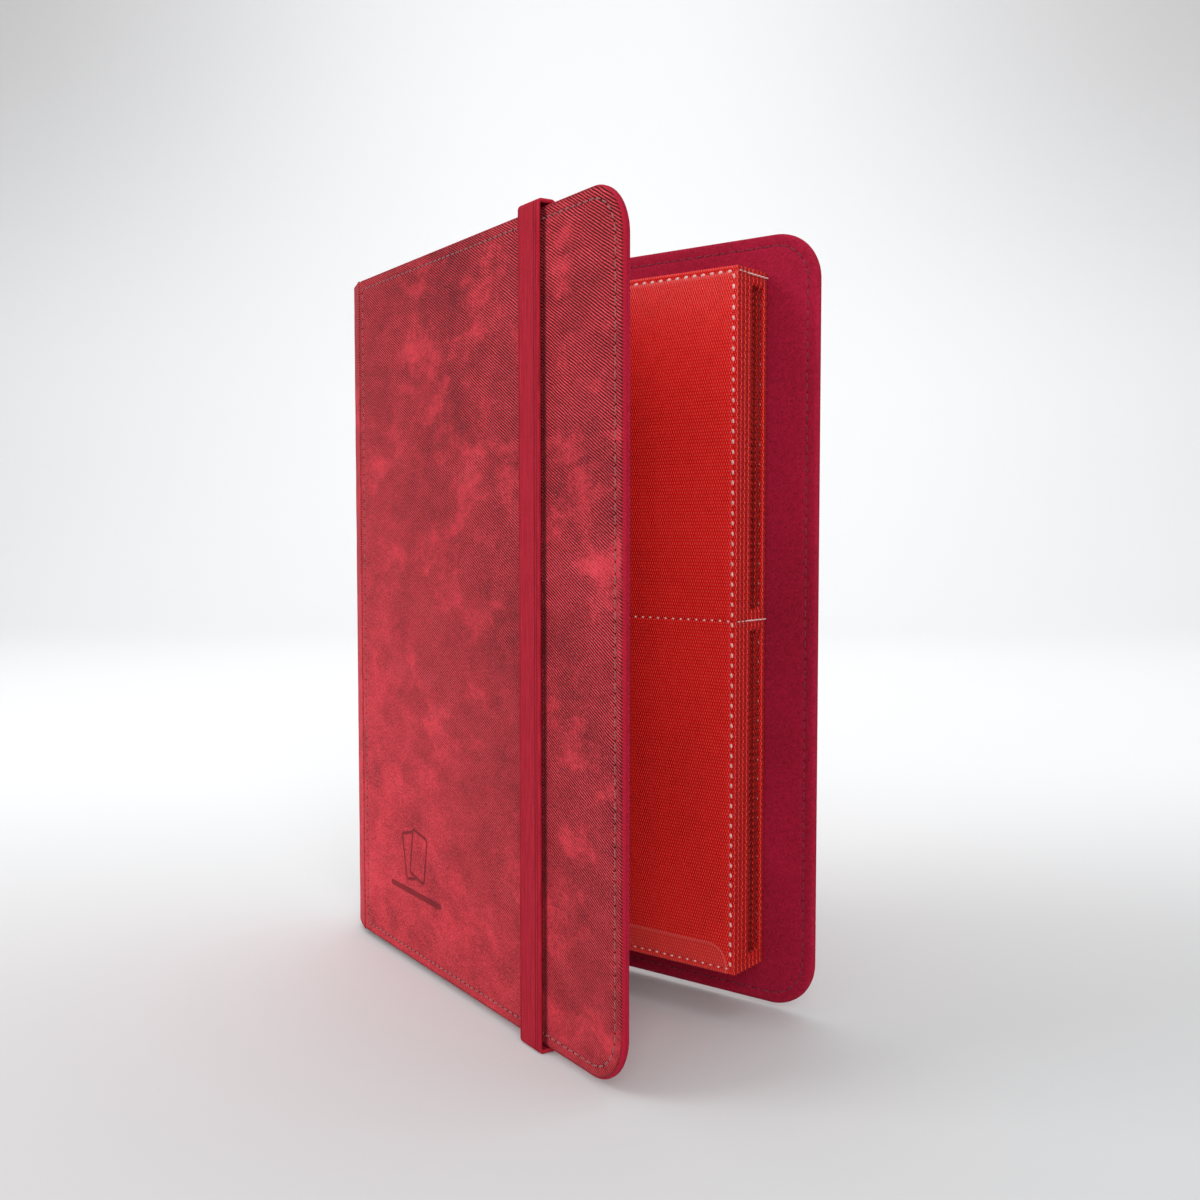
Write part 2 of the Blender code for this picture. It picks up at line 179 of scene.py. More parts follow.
def shell(name, box, radii, profile, place, mat, pucker=0.0, ref=2.3, step=0.75, probe=(0, 1, 0), pitch=PITCH, shift=(0.0, 0.0), flow=1.0):
    """A skin over a panel: profile is (inset, depth) pairs from the middle outwards and round the edge."""
    lens = []
    u0, u1, v0, v1 = box
    arcs, edges = [], []
    for r in radii:
        arcs.append(max(4, int(round((max(r - SEAM, 0.3)) * math.pi / 2 / step))) if r > 3 else 5)
    lengths = [v1 - v0, u1 - u0, v1 - v0, u1 - u0]
    for k, l in enumerate(lengths):
        edges.append(max(6, int(round((l - radii[k] - radii[(k + 1) % 4]) / step))))
    base, _ = ring(box, radii, arcs, edges, SEAM)
    s = loop_length(base)
    total = s[-1]
    s = s[:-1]
    count = round(total / pitch)
    wave = np.cos(2 * np.pi * s * count / total)
    verts, pats = [], []
    run = [0.0]
    for (a, da), (b, db) in zip(profile, profile[1:]):
        run.append(run[-1] + math.hypot(a - b, da - db))
    ref_run = np.interp(-ref, [-p[0] for p in profile], run) if profile[0][0] > ref else 0.0
    pref, _ = ring(box, radii, arcs, edges, ref)
    edge_wave = wander(s, total, 14, 1.0, hash_name(name))
    for (inset, depth), r in zip(profile, run):
        p, n = ring(box, radii, arcs, edges, inset)
        d = np.full(len(p), float(depth))
        if pucker:
            near = math.exp(-(((inset - SEAM) / 0.75) ** 2))
            d -= pucker * near * (0.45 + 0.55 * wave)
            d += math.copysign(0.03, pucker) * math.exp(-(((inset - 1.9) / 1.0) ** 2)) * edge_wave
        verts.append(place(p[:, 0], d, p[:, 1]))
        if r > ref_run:
            q = pref + n * (r - ref_run)
        else:
            q = p
        pats.append(np.column_stack([flow * q[:, 0] + shift[0], q[:, 1] + shift[1], np.full(len(q), depth)]))
    n = len(pref)
    v = np.concatenate(verts)
    faces = [tuple(range(n))]
    faces += [tuple(reversed(f)) for f in ring_faces(len(profile), n)]
    if signed_volume_dir(v, faces, probe) < 0:
        faces = [tuple(reversed(f)) for f in faces]
    return make(name, v, faces, [mat], np.concatenate(pats)), (base, total, count)


def hash_name(name):
    return sum((i + 1) * ord(c) for i, c in enumerate(name)) % 100003


A7 = np.array([-1, -0.86, -0.5, 0.0, 0.5, 0.86, 1.0])
PHI = np.radians([0, 40, 90, 140, 180])


def dash(length, width, height, dip, sections=A7, phis=PHI):
    """One stitch lying along x: points and quads, its ends sinking into their holes."""
    pts = []
    for a in sections:
        r = (1 - 0.55 * abs(a) ** 5)
        up = height * (1 - 0.5 * abs(a) ** 3)
        for p in phis:
            pts.append((a * length / 2, math.cos(p) * width / 2 * r, math.sin(p) * up - dip * abs(a) ** 4 - 0.06))
    m = len(phis)
    faces = []
    for i in range(len(sections) - 1):
        for j in range(m - 1):
            a = i * m + j
            faces.append((a, a + m, a + m + 1, a + 1))
    return np.array(pts), faces


def stitches(name, runs, place, depth, sign, mats, width=0.6, height=0.26, length_share=0.76, dip=0.2,
             hole=0.34, slant=4.0, jitter=0.03, sections=A7, phis=PHI, hole_lift=0.02, seed=1, extra=()):
    """Rows of single stitches with a dark disc at each end, painted shade of a needle hole. runs: (points (N,2),
    closed, stitch count).
    """
    r = np.random.default_rng(seed)
    verts, faces, pats, fm = [], [], [], []
    base = 0
    for points, closed, count in runs:
        p = np.asarray(points, float)
        if closed:
            p = np.vstack([p, p[:1]])
        seg = np.linalg.norm(np.diff(p, axis=0), axis=1)
        cum = np.concatenate([[0], np.cumsum(seg)])
        pitch = cum[-1] / count
        mids = (np.arange(count) + 0.5) * pitch
        x = np.interp(mids, cum, p[:, 0])
        y = np.interp(mids, cum, p[:, 1])
        e = 0.45 * pitch
        tx = np.interp(np.minimum(mids + e, cum[-1]), cum, p[:, 0]) - np.interp(np.maximum(mids - e, 0), cum, p[:, 0])
        ty = np.interp(np.minimum(mids + e, cum[-1]), cum, p[:, 1]) - np.interp(np.maximum(mids - e, 0), cum, p[:, 1])
        ang = np.arctan2(ty, tx) + np.radians(slant) + np.radians(r.normal(0, 1.6, count))
        t, f = dash(pitch * length_share, width, height, dip, sections, phis)
        m = len(t)
        size = 1 + r.normal(0, 0.03, count)
        ca, sa = np.cos(ang), np.sin(ang)
        U = x[:, None] + (t[None, :, 0] * size[:, None]) * ca[:, None] - t[None, :, 1] * sa[:, None] + r.normal(0, jitter, count)[:, None]
        V = y[:, None] + (t[None, :, 0] * size[:, None]) * sa[:, None] + t[None, :, 1] * ca[:, None] + r.normal(0, jitter, count)[:, None]
        D = depth + sign * np.broadcast_to(t[None, :, 2], U.shape)
        verts.append(place(U.ravel(), D.ravel(), V.ravel()))
        pats.append(np.column_stack([np.tile(t[:, 0], count) + np.repeat(mids, m), np.tile(t[:, 1], count), np.tile(t[:, 2], count)]))
        ff = np.array(f)
        allf = (ff[None] + (np.arange(count) * m)[:, None, None] + base).reshape(-1, 4)
        faces += allf.tolist()
        fm += [0] * len(allf)
        base += count * m
        # dark discs at the holes: painted shade inside the needle holes
        if hole:
            hs = np.arange(count + (0 if closed else 1)) * pitch
            hx, hy = np.interp(hs, cum, p[:, 0]), np.interp(hs, cum, p[:, 1])
            k = 8
            a = np.arange(k) * 2 * np.pi / k
            U = hx[:, None] + hole * 1.05 * np.cos(a)[None]
            V = hy[:, None] + hole * np.sin(a)[None]
            D = np.full(U.shape, depth + sign * hole_lift)
            verts.append(place(U.ravel(), D.ravel(), V.ravel()))
            pats.append(np.column_stack([U.ravel(), V.ravel(), D.ravel()]))
            faces += [tuple(range(base + i * k, base + i * k + k)) for i in range(len(hs))]
            fm += [1] * len(hs)
            base += len(hs) * k
    for v, f, q in extra:
        verts.append(v)
        pats.append(q)
        faces += [tuple(i + base for i in g) for g in f]
        fm += [0] * len(f)
        base += len(v)
    o = make(name, np.concatenate(verts), [tuple(f) for f in faces], mats, np.concatenate(pats), fm)
    return o


# ================================================================ materials
class Nodes:
    """A short way to write a node tree."""

    def __init__(self, name):
        self.mat = bpy.data.materials.new(name)
        self.mat.use_nodes = True
        self.t = self.mat.node_tree
        self.t.nodes.clear()
        self.out = self.t.nodes.new("ShaderNodeOutputMaterial")

    def put(self, socket, value):
        if isinstance(value, bpy.types.NodeSocket):
            self.t.links.new(value, socket)
        elif value is not None:
            socket.default_value = value

    def node(self, kind, **props):
        n = self.t.nodes.new(kind)
        for k, v in props.items():
            setattr(n, k, v)
        return n

    def math(self, op, a, b=None, c=None, clamp=False):
        n = self.node("ShaderNodeMath", operation=op, use_clamp=clamp)
        for s, v in zip(n.inputs, (a, b, c)):
            self.put(s, v)
        return n.outputs[0]

    def pat(self):
        n = self.node("ShaderNodeAttribute", attribute_name="pat", attribute_type="GEOMETRY")
        return n.outputs["Vector"]

    def obj(self, scale=1000.0):
        n = self.node("ShaderNodeTexCoord")
        return self.vscale(n.outputs["Object"], scale)

    def vscale(self, v, k):
        n = self.node("ShaderNodeVectorMath", operation="SCALE")
        self.put(n.inputs[0], v)
        n.inputs["Scale"].default_value = k
        return n.outputs[0]

    def vmul(self, v, k):
        n = self.node("ShaderNodeVectorMath", operation="MULTIPLY")
        self.put(n.inputs[0], v)
        n.inputs[1].default_value = k
        return n.outputs[0]

    def vadd(self, v, w):
        n = self.node("ShaderNodeVectorMath", operation="ADD")
        self.put(n.inputs[0], v)
        self.put(n.inputs[1], w)
        return n.outputs[0]

    def xyz(self, v):
        n = self.node("ShaderNodeSeparateXYZ")
        self.put(n.inputs[0], v)
        return n.outputs

    def noise(self, v, scale, detail=2.0, rough=0.5, out="Fac", distortion=0.0):
        n = self.node("ShaderNodeTexNoise", noise_dimensions="3D")
        self.put(n.inputs["Vector"], v)
        n.inputs["Scale"].default_value = scale
        n.inputs["Detail"].default_value = detail
        n.inputs["Roughness"].default_value = rough
        n.inputs["Distortion"].default_value = distortion
        return n.outputs[out]

    def voronoi(self, v, scale, feature="F1", out="Distance", randomness=1.0):
        n = self.node("ShaderNodeTexVoronoi", feature=feature)
        self.put(n.inputs["Vector"], v)
        n.inputs["Scale"].default_value = scale
        n.inputs["Randomness"].default_value = randomness
        return n.outputs[out]

    def ramp(self, fac, stops, mode="LINEAR"):
        n = self.node("ShaderNodeValToRGB")
        n.color_ramp.interpolation = mode
        e = n.color_ramp.elements
        while len(e) < len(stops):
            e.new(0.5)
        for el, (pos, col) in zip(e, stops):
            el.position = pos
            el.color = (*col, 1) if not np.isscalar(col) else (col, col, col, 1)
        self.put(n.inputs[0], fac)
        return n.outputs[0]

    def step(self, x, a, b):
        n = self.node("ShaderNodeMapRange", interpolation_type="SMOOTHSTEP")
        self.put(n.inputs[0], x)
        n.inputs[1].default_value = a
        n.inputs[2].default_value = b
        return n.outputs[0]

    def mix(self, fac, a, b, blend="MIX"):
        n = self.node("ShaderNodeMix", data_type="RGBA", blend_type=blend)
        self.put(n.inputs[0], fac)
        for s, v in ((n.inputs[6], a), (n.inputs[7], b)):
            if isinstance(v, tuple) and len(v) == 3:
                v = (*v, 1)
            self.put(s, v)
        return n.outputs[2]

    def bump(self, height, distance, strength=1.0, normal=None):
        n = self.node("ShaderNodeBump")
        n.inputs["Strength"].default_value = strength
        n.inputs["Distance"].default_value = distance
        self.put(n.inputs["Height"], height)
        if normal is not None:
            self.put(n.inputs["Normal"], normal)
        return n.outputs[0]

    def shader(self, color, rough, normal=None, **sockets):
        n = self.node("ShaderNodeBsdfPrincipled")
        self.put(n.inputs["Base Color"], color if not isinstance(color, tuple) else (*color, 1))
        self.put(n.inputs["Roughness"], rough)
        if normal is not None:
            self.put(n.inputs["Normal"], normal)
        for k, v in sockets.items():
            n.inputs[k.replace("_", " ")].default_value = v
        return n.outputs[0]

    def done(self, surface):
        self.t.links.new(surface, self.out.inputs["Surface"])
        return self.mat


# ridge, from dark to light clouds; nap fleck; worn patch; groove; pit
RIDGE = [(150, 26, 40), (194, 44, 57), (223, 59, 72), (240, 75, 89), (246, 100, 110), (208, 54, 68), (52, 0, 2), (106, 8, 22)]


def srgb(r, g, b):
    out = []
    for c in (r, g, b):
        c /= 255
        out.append(c / 12.92 if c <= 0.04045 else ((c + 0.055) / 1.055) ** 2.4)
    return tuple(out)


def card_outline(m, x, y, cx, cy, turn, hw, hh, r, width):
    """Distance to a rounded rectangle's edge, and a soft line along it."""
    c, sn = math.cos(math.radians(turn)), math.sin(math.radians(turn))
    dx = m.math("SUBTRACT", x, cx)
    dy = m.math("SUBTRACT", y, cy)
    px = m.math("ADD", m.math("MULTIPLY", dx, c), m.math("MULTIPLY", dy, sn))
    py = m.math("SUBTRACT", m.math("MULTIPLY", dy, c), m.math("MULTIPLY", dx, sn))
    qx = m.math("SUBTRACT", m.math("ABSOLUTE", px), hw - r)
    qy = m.math("SUBTRACT", m.math("ABSOLUTE", py), hh - r)
    ox, oy = m.math("MAXIMUM", qx, 0.0), m.math("MAXIMUM", qy, 0.0)
    far = m.math("SQRT", m.math("ADD", m.math("MULTIPLY", ox, ox), m.math("MULTIPLY", oy, oy)))
    near = m.math("MINIMUM", m.math("MAXIMUM", qx, qy), 0.0)
    d = m.math("SUBTRACT", m.math("ADD", far, near), r)
    line = m.step(m.math("ABSOLUTE", d), width * 0.5 + 0.22, width * 0.5 - 0.1)
    return d, line


def leather_material(name="suede_leather", mark=False):
    m = Nodes(name)
    p = m.pat()
    x, y, z = m.xyz(p)[:3]
    wide = m.vmul(p, (0.62, 1.0, 1.0))
    big = m.noise(wide, 0.034, 3.0, 0.55, distortion=0.3)
    mid = m.noise(wide, 0.13, 4.0, 0.62, distortion=0.4)
    small = m.noise(p, 0.9, 3.0, 0.65)
    fine = m.noise(p, 3.6, 2.0, 0.6)
    cloud = m.math("ADD", m.math("MULTIPLY", big, 0.5), m.math("MULTIPLY", mid, 0.5))
    # diagonal twill ribs pressed into the nap, 0.76 mm apart, strongest towards the top and the fore edge
    warp = m.math("MULTIPLY", m.math("SUBTRACT", m.noise(p, 0.14, 2.0, 0.5), 0.5), 0.9)
    t = m.math("ADD", m.math("ADD", m.math("MULTIPLY", x, 0.49), m.math("MULTIPLY", y, 0.871)), warp)
    s = m.math("SINE", m.math("MULTIPLY", t, 2 * math.pi / 0.76))
    line = m.math("MULTIPLY_ADD", s, 0.5, 0.5)
    cross = m.math("SINE", m.math("MULTIPLY", m.math("SUBTRACT", m.math("MULTIPLY", x, 1.0), m.math("MULTIPLY", y, 0.25)), 2 * math.pi / 0.9))
    grow = m.math("ADD", m.math("MULTIPLY", x, 0.0042), m.math("MULTIPLY", y, 0.0032))
    grow = m.step(m.math("ADD", grow, m.math("MULTIPLY", m.math("SUBTRACT", big, 0.5), 1.3)), 0.15, 0.85)
    worn = m.step(m.math("ADD", m.noise(m.vadd(wide, (31.0, 7.0, 3.0)), 0.075, 3.0, 0.6, distortion=0.2),
                         m.math("MULTIPLY", m.math("SUBTRACT", small, 0.5), 0.34)), 0.50, 0.74)
    broken = m.step(small, 0.24, 0.44)
    amount = m.math("MULTIPLY", m.math("MULTIPLY_ADD", grow, 0.74, 0.26), m.math("MULTIPLY", m.math("MULTIPLY_ADD", worn, -0.72, 1.0), broken))
    ridge = m.ramp(cloud, [(0.34, srgb(*RIDGE[0])), (0.45, srgb(*RIDGE[1])), (0.55, srgb(*RIDGE[2])), (0.67, srgb(*RIDGE[3]))])
    ridge = m.mix(m.math("MULTIPLY", m.step(fine, 0.40, 0.72), 0.38), ridge, srgb(*RIDGE[4]))
    grain = m.noise(p, 1.5, 2.0, 0.6)
    ridge = m.mix(m.math("MULTIPLY", m.step(grain, 0.50, 0.70), 0.42), ridge, srgb(*RIDGE[4]))
    ridge = m.mix(m.math("MULTIPLY", m.step(grain, 0.50, 0.30), 0.50), ridge, srgb(*RIDGE[7]))
    ridge = m.mix(m.math("MULTIPLY", worn, 0.34), ridge, srgb(*RIDGE[5]))
    groove = m.math("MULTIPLY", m.step(line, 0.76, 0.26), amount)
    col = m.mix(groove, ridge, srgb(*RIDGE[6]))
    pits = m.math("MULTIPLY", m.math("MULTIPLY", m.step(small, 0.48, 0.30), m.math("MULTIPLY_ADD", cross, 0.25, 0.75)), 0.55)
    col = m.mix(pits, col, srgb(*RIDGE[7]))
    # the turned edge: a darker colour is painted as shade where the skin dips below the face, in the seam's dimple and
    # on the roll of the edge; then the lining's colour shows
    on_edge = m.step(z, 0.6, 0.9)
    col = m.mix(m.math("MULTIPLY", m.math("MULTIPLY", m.step(z, 2.66, 2.45), on_edge), 0.55), col, srgb(92, 8, 20))
    col = m.mix(m.math("MULTIPLY", m.step(z, 2.40, 2.28), on_edge), col, m.mix(fine, srgb(156, 14, 40), srgb(186, 24, 54)))
    h = m.math("ADD", m.math("MULTIPLY", m.math("MULTIPLY", line, amount), 0.75),
               m.math("ADD", m.math("MULTIPLY", fine, 0.22), m.math("MULTIPLY", small, 0.45)))
    n1 = m.bump(mid, 0.0004, 0.5)
    if mark:
        # painted shadow: a dark strip on the leather just right of the band, where the band's shadow falls
        band_shadow = m.math("MULTIPLY", m.step(x, BAND_X1 - 0.6, BAND_X1 - 0.3), m.step(x, BAND_X1 + 1.7, BAND_X1 + 0.7))
        col = m.mix(m.math("MULTIPLY", band_shadow, 0.62), col, srgb(40, 0, 4))
        d1, l1 = card_outline(m, x, y, 56.0, 38.0, -9.0, 5.4, 7.6, 1.2, 0.75)
        d2, l2 = card_outline(m, x, y, 50.6, 37.2, 13.0, 5.4, 7.6, 1.2, 0.75)
        l2 = m.math("MULTIPLY", l2, m.step(d1, 0.5, 0.9))
        d3, l3 = card_outline(m, x, y, 53.5, 25.0, 0.0, 19.0, 0.8, 0.7, 0.5)
        bar = m.step(d3, 0.3, -0.1)
        press = m.math("MAXIMUM", m.math("MAXIMUM", l1, l2), bar)
        col = m.mix(m.math("MULTIPLY", press, 0.72), col, srgb(96, 16, 26))
        n1 = m.bump(m.math("SUBTRACT", 1.0, press), 0.00035, 1.0, n1)
    n2 = m.bump(h, 0.00022, 1.0, n1)
    rough = m.math("MULTIPLY_ADD", mid, 0.18, 0.62)
    sh = m.shader(col, rough, n2, Specular_IOR_Level=0.12, Sheen_Weight=0.04, Sheen_Roughness=0.5,
                  Sheen_Tint=(*srgb(255, 120, 130), 1))
    return m.done(sh)


def lining_material():
    m = Nodes("microfibre_lining")
    p = m.pat()
    big = m.noise(p, 0.03, 3.0, 0.5)
    mid = m.noise(p, 0.5, 4.0, 0.65)
    fine = m.noise(p, 5.0, 3.0, 0.7)
    c1 = m.ramp(m.math("MULTIPLY_ADD", big, 0.5, m.math("MULTIPLY", mid, 0.5)),
                [(0.32, srgb(132, 10, 36)), (0.5, srgb(154, 15, 47)), (0.68, srgb(174, 22, 57))])
    grain = m.noise(p, 1.3, 3.0, 0.65)
    c1 = m.mix(m.math("MULTIPLY", m.step(grain, 0.52, 0.68), 0.45), c1, srgb(178, 32, 66))
    c1 = m.mix(m.math("MULTIPLY", m.step(grain, 0.48, 0.32), 0.55), c1, srgb(88, 4, 24))
    col = m.mix(m.math("MULTIPLY", m.step(fine, 0.45, 0.7), 0.35), c1, srgb(196, 44, 74))
    col = m.mix(m.math("MULTIPLY", m.step(fine, 0.45, 0.25), 0.35), col, srgb(104, 8, 30))
    n = m.bump(m.math("ADD", m.math("MULTIPLY", fine, 0.7), mid), 0.00012, 0.8)
    sh = m.shader(col, 0.85, n, Specular_IOR_Level=0.15, Sheen_Weight=0.08, Sheen_Roughness=0.5,
                  Sheen_Tint=(*srgb(220, 60, 90), 1))
    return m.done(sh)


def thread_material(name, base, light, twist=0.42):
    m = Nodes(name)
    p = m.pat()
    x, y, z = m.xyz(p)[:3]
    s = m.math("SINE", m.math("MULTIPLY", m.math("ADD", x, m.math("MULTIPLY", y, 1.1)), 2 * math.pi / twist))
    w = m.math("MULTIPLY_ADD", s, 0.5, 0.5)
    var = m.noise(p, 0.35, 2.0, 0.5)
    c = m.mix(w, base, light)
    c = m.mix(m.math("MULTIPLY", m.step(var, 0.62, 0.38), 0.4), c, tuple(0.6 * v for v in base))
    n = m.bump(w, 0.00006, 0.8)
    return m.done(m.shader(c, 0.62, n, Specular_IOR_Level=0.35, Sheen_Weight=0.2, Sheen_Roughness=0.4))


def hole_material():
    # colour of the discs at the stitch holes: painted shade inside the needle holes
    m = Nodes("needle_hole")
    v = m.noise(m.pat(), 1.3, 2.0)
    c = m.mix(v, srgb(40, 6, 12), srgb(70, 12, 22))
    return m.done(m.shader(c, 0.9, None, Specular_IOR_Level=0.1))


def elastic_material():
    m = Nodes("elastic_webbing")
    p = m.pat()
    x, y, z = m.xyz(p)[:3]
    ribs = m.math("SINE", m.math("MULTIPLY", x, 2 * math.pi / 0.72))
    picks = m.math("SINE", m.math("MULTIPLY_ADD", y, 2 * math.pi / 0.62, m.math("MULTIPLY", m.math("SIGN", ribs), 1.57)))
    r = m.math("MULTIPLY_ADD", ribs, 0.5, 0.5)
    q = m.math("MULTIPLY_ADD", picks, 0.5, 0.5)
    streak = m.noise(m.vmul(p, (3.2, 0.12, 1.0)), 1.0, 3.0, 0.6)
    fine = m.noise(p, 3.5, 2.0, 0.6)
    h = m.math("ADD", m.math("MULTIPLY", r, 0.6), m.math("MULTIPLY", m.math("MULTIPLY", q, r), 0.45))
    c = m.ramp(streak, [(0.3, srgb(156, 24, 42)), (0.5, srgb(174, 31, 50)), (0.72, srgb(192, 42, 60))])
    c = m.mix(m.math("MULTIPLY", m.math("SUBTRACT", 1.0, r), 0.30), c, srgb(112, 12, 26))
    c = m.mix(m.math("MULTIPLY", m.step(fine, 0.5, 0.75), 0.18), c, srgb(204, 80, 90))
    across = BAND_X1 - BAND_X0
    # painted shade: dark lines along three of the webbing's edge grooves
    for at in (0.95, across - 0.95, across - 2.05):
        groove_shade = m.step(m.math("ABSOLUTE", m.math("SUBTRACT", x, at)), 0.30, 0.10)
        c = m.mix(m.math("MULTIPLY", groove_shade, 0.62 if at > 1 else 0.3), c, srgb(84, 2, 14))
    n = m.bump(h, 0.00014, 0.9)
    return m.done(m.shader(c, 0.78, n, Specular_IOR_Level=0.08, Sheen_Weight=0.03, Sheen_Roughness=0.4,
                           Sheen_Tint=(*srgb(255, 120, 130), 1)))


def page_cloth_material():
    m = Nodes("page_backing_weave")
    p = m.pat()
    x, y, z = m.xyz(p)[:3]
    a = m.math("SINE", m.math("MULTIPLY", x, 2 * math.pi / 0.8))
    b = m.math("SINE", m.math("MULTIPLY", y, 2 * math.pi / 0.8))
    w = m.math("MULTIPLY_ADD", m.math("MULTIPLY", a, b), 0.5, 0.5)
    v = m.noise(p, 0.06, 3.0)
    c = m.mix(w, srgb(96, 4, 6), srgb(190, 32, 28))
    c = m.mix(m.math("MULTIPLY", v, 0.3), c, srgb(150, 16, 18))
    # painted shade: the cloth darkened where its fore edge stands back in the hollow (z carries the set-back), with
    # dark cross lines between the small blocks there
    c = m.mix(m.math("MULTIPLY", m.step(z, 0.95, 1.25), 0.86), c, srgb(44, 0, 2))
    block_gap_shade = m.step(m.math("ABSOLUTE", m.math("SINE", m.math("MULTIPLY", y, math.pi / 1.95))), 0.55, 0.25)
    c = m.mix(m.math("MULTIPLY", m.math("MULTIPLY", block_gap_shade, m.step(z, 0.35, 0.7)), 0.75), c, srgb(40, 0, 2))
    return m.done(m.shader(c, 0.55, m.bump(w, 0.0001, 0.8), Specular_IOR_Level=0.2))


def page_film_material():
    """Clear pocket film lying on the red weave, its surface taking up the weave's rows of dots."""
    m = Nodes("page_pocket_film")
    p = m.pat()
    x, y, z = m.xyz(p)[:3]
    jig = m.math("MULTIPLY", m.math("SUBTRACT", m.noise(p, 0.5, 2.0), 0.5), 0.22)
    a = m.math("COSINE", m.math("MULTIPLY", m.math("ADD", x, jig), 2 * math.pi / 0.8))
    b = m.math("COSINE", m.math("MULTIPLY", m.math("ADD", y, jig), 2 * math.pi / 2.0))
    w = m.math("MULTIPLY_ADD", m.math("MULTIPLY", a, b), 0.5, 0.5)
    row = m.math("ABSOLUTE", b)
    dots = m.step(w, 0.55, 0.92)
    big = m.noise(p, 0.022, 3.0, 0.5)
    mid = m.noise(p, 0.25, 3.0, 0.6)
    fine = m.noise(p, 3.0, 2.0, 0.6)
    c = m.ramp(m.math("MULTIPLY_ADD", big, 0.6, m.math("MULTIPLY", mid, 0.4)),
               [(0.30, srgb(212, 18, 17)), (0.5, srgb(230, 22, 21)), (0.7, srgb(242, 32, 30))])
    c = m.mix(m.math("MULTIPLY", m.step(row, 0.55, 0.10), 0.34), c, srgb(120, 2, 4))
    c = m.mix(m.math("MULTIPLY", m.step(w, 0.42, 0.06), 0.58), c, srgb(104, 0, 2))
    # light dots: the weave's own dot pattern, lightened as painted highlights
    c = m.mix(m.math("MULTIPLY", dots, 0.66), c, srgb(250, 88, 78))
    c = m.mix(m.math("MULTIPLY", m.step(fine, 0.52, 0.8), 0.25), c, srgb(236, 120, 110))
    # the welded foot of the lower pocket, one more layer of film with a rounded corner
    qx = m.math("SUBTRACT", x, LEAF_X1 - 3.4 - 6.0)
    qy = m.math("SUBTRACT", y, PAGE_Z0 + 8.2 - 6.0)
    ox, oy = m.math("MAXIMUM", qx, 0.0), m.math("MAXIMUM", qy, 0.0)
    d = m.math("SUBTRACT", m.math("SQRT", m.math("ADD", m.math("MULTIPLY", ox, ox), m.math("MULTIPLY", oy, oy))), 6.0)
    foot = m.step(d, 0.15, -0.15)
    rim = m.step(m.math("ABSOLUTE", d), 0.5, 0.1)
    c = m.mix(m.math("MULTIPLY", foot, 0.10), c, srgb(226, 130, 120))
    c = m.mix(m.math("MULTIPLY", rim, 0.10), c, srgb(240, 190, 184))
    # painted shade: the film darkened where the leaf's fore edge stands back in the hollow
    c = m.mix(m.math("MULTIPLY", m.step(z, 0.3, 0.9), 0.85), c, srgb(44, 0, 2))
    n1 = m.bump(mid, 0.0003, 0.35)
    n1 = m.bump(foot, 0.0001, 1.0, n1)
    n = m.bump(m.math("ADD", w, m.math("MULTIPLY", fine, 0.3)), 0.00014, 0.9, n1)
    rough = m.math("MULTIPLY_ADD", mid, 0.25, 0.22)
    return m.done(m.shader(c, rough, n, Specular_IOR_Level=0.26, Coat_Weight=0.06, Coat_Roughness=0.25))


def board_material():
    m = Nodes("grey_board")
    p = m.obj()
    v = m.noise(p, 0.8, 4.0, 0.7)
    f = m.noise(m.vmul(p, (1.0, 1.0, 0.25)), 3.0, 3.0, 0.7)
    c = m.mix(v, srgb(120, 112, 100), srgb(158, 150, 136))
    c = m.mix(m.math("MULTIPLY", m.step(f, 0.55, 0.8), 0.5), c, srgb(90, 84, 76))
    return m.done(m.shader(c, 0.9, m.bump(f, 0.0001, 0.6), Specular_IOR_Level=0.2))


def binding_cloth_material():
    m = Nodes("binding_cloth")
    p = m.obj()
    x, y, z = m.xyz(p)[:3]
    a = m.math("SINE", m.math("MULTIPLY", z, 2 * math.pi / 0.7))
    b = m.math("SINE", m.math("MULTIPLY", m.math("ADD", x, y), 2 * math.pi / 0.7))
    w = m.math("MULTIPLY_ADD", m.math("MULTIPLY", a, b), 0.5, 0.5)
    c = m.mix(w, srgb(96, 10, 24), srgb(146, 26, 44))
    c = m.mix(m.math("MULTIPLY", m.noise(p, 0.3, 3.0), 0.4), c, srgb(120, 18, 34))
    return m.done(m.shader(c, 0.85, m.bump(w, 0.00012, 0.8), Specular_IOR_Level=0.25, Sheen_Weight=0.25))


def cord_material():
    m = Nodes("cotton_cord")
    p = m.obj()
    x, y, z = m.xyz(p)[:3]
    s = m.math("SINE", m.math("MULTIPLY", m.math("ADD", z, m.math("MULTIPLY", m.math("ADD", x, y), 0.9)), 2 * math.pi / 1.8))
    w = m.math("MULTIPLY_ADD", s, 0.5, 0.5)
    f = m.noise(p, 3.0, 3.0, 0.7)
    c = m.mix(w, srgb(140, 128, 108), srgb(196, 186, 166))
    c = m.mix(m.math("MULTIPLY", f, 0.4), c, srgb(210, 202, 186))
    return m.done(m.shader(c, 0.85, m.bump(m.math("ADD", w, f), 0.0002, 0.8), Specular_IOR_Level=0.2, Sheen_Weight=0.2))


LEATHER = leather_material()
LEATHER_FRONT = leather_material("suede_leather_front", mark=True)
LINING = lining_material()
THREAD = thread_material("cover_thread", srgb(122, 56, 60), srgb(186, 112, 110))
THREAD_IN = thread_material("cover_thread_inside", srgb(96, 16, 36), srgb(146, 46, 70))
HOLE = hole_material()
ELASTIC = elastic_material()
CLOTH = page_cloth_material()
FILM = page_film_material()
# page thread: pink thread, its near-white colours partly painted highlights
PAGE_THREAD = thread_material("page_thread", srgb(230, 148, 144), srgb(255, 236, 232), twist=0.34)
BOARD = board_material()
BIND = binding_cloth_material()
CORD = cord_material()


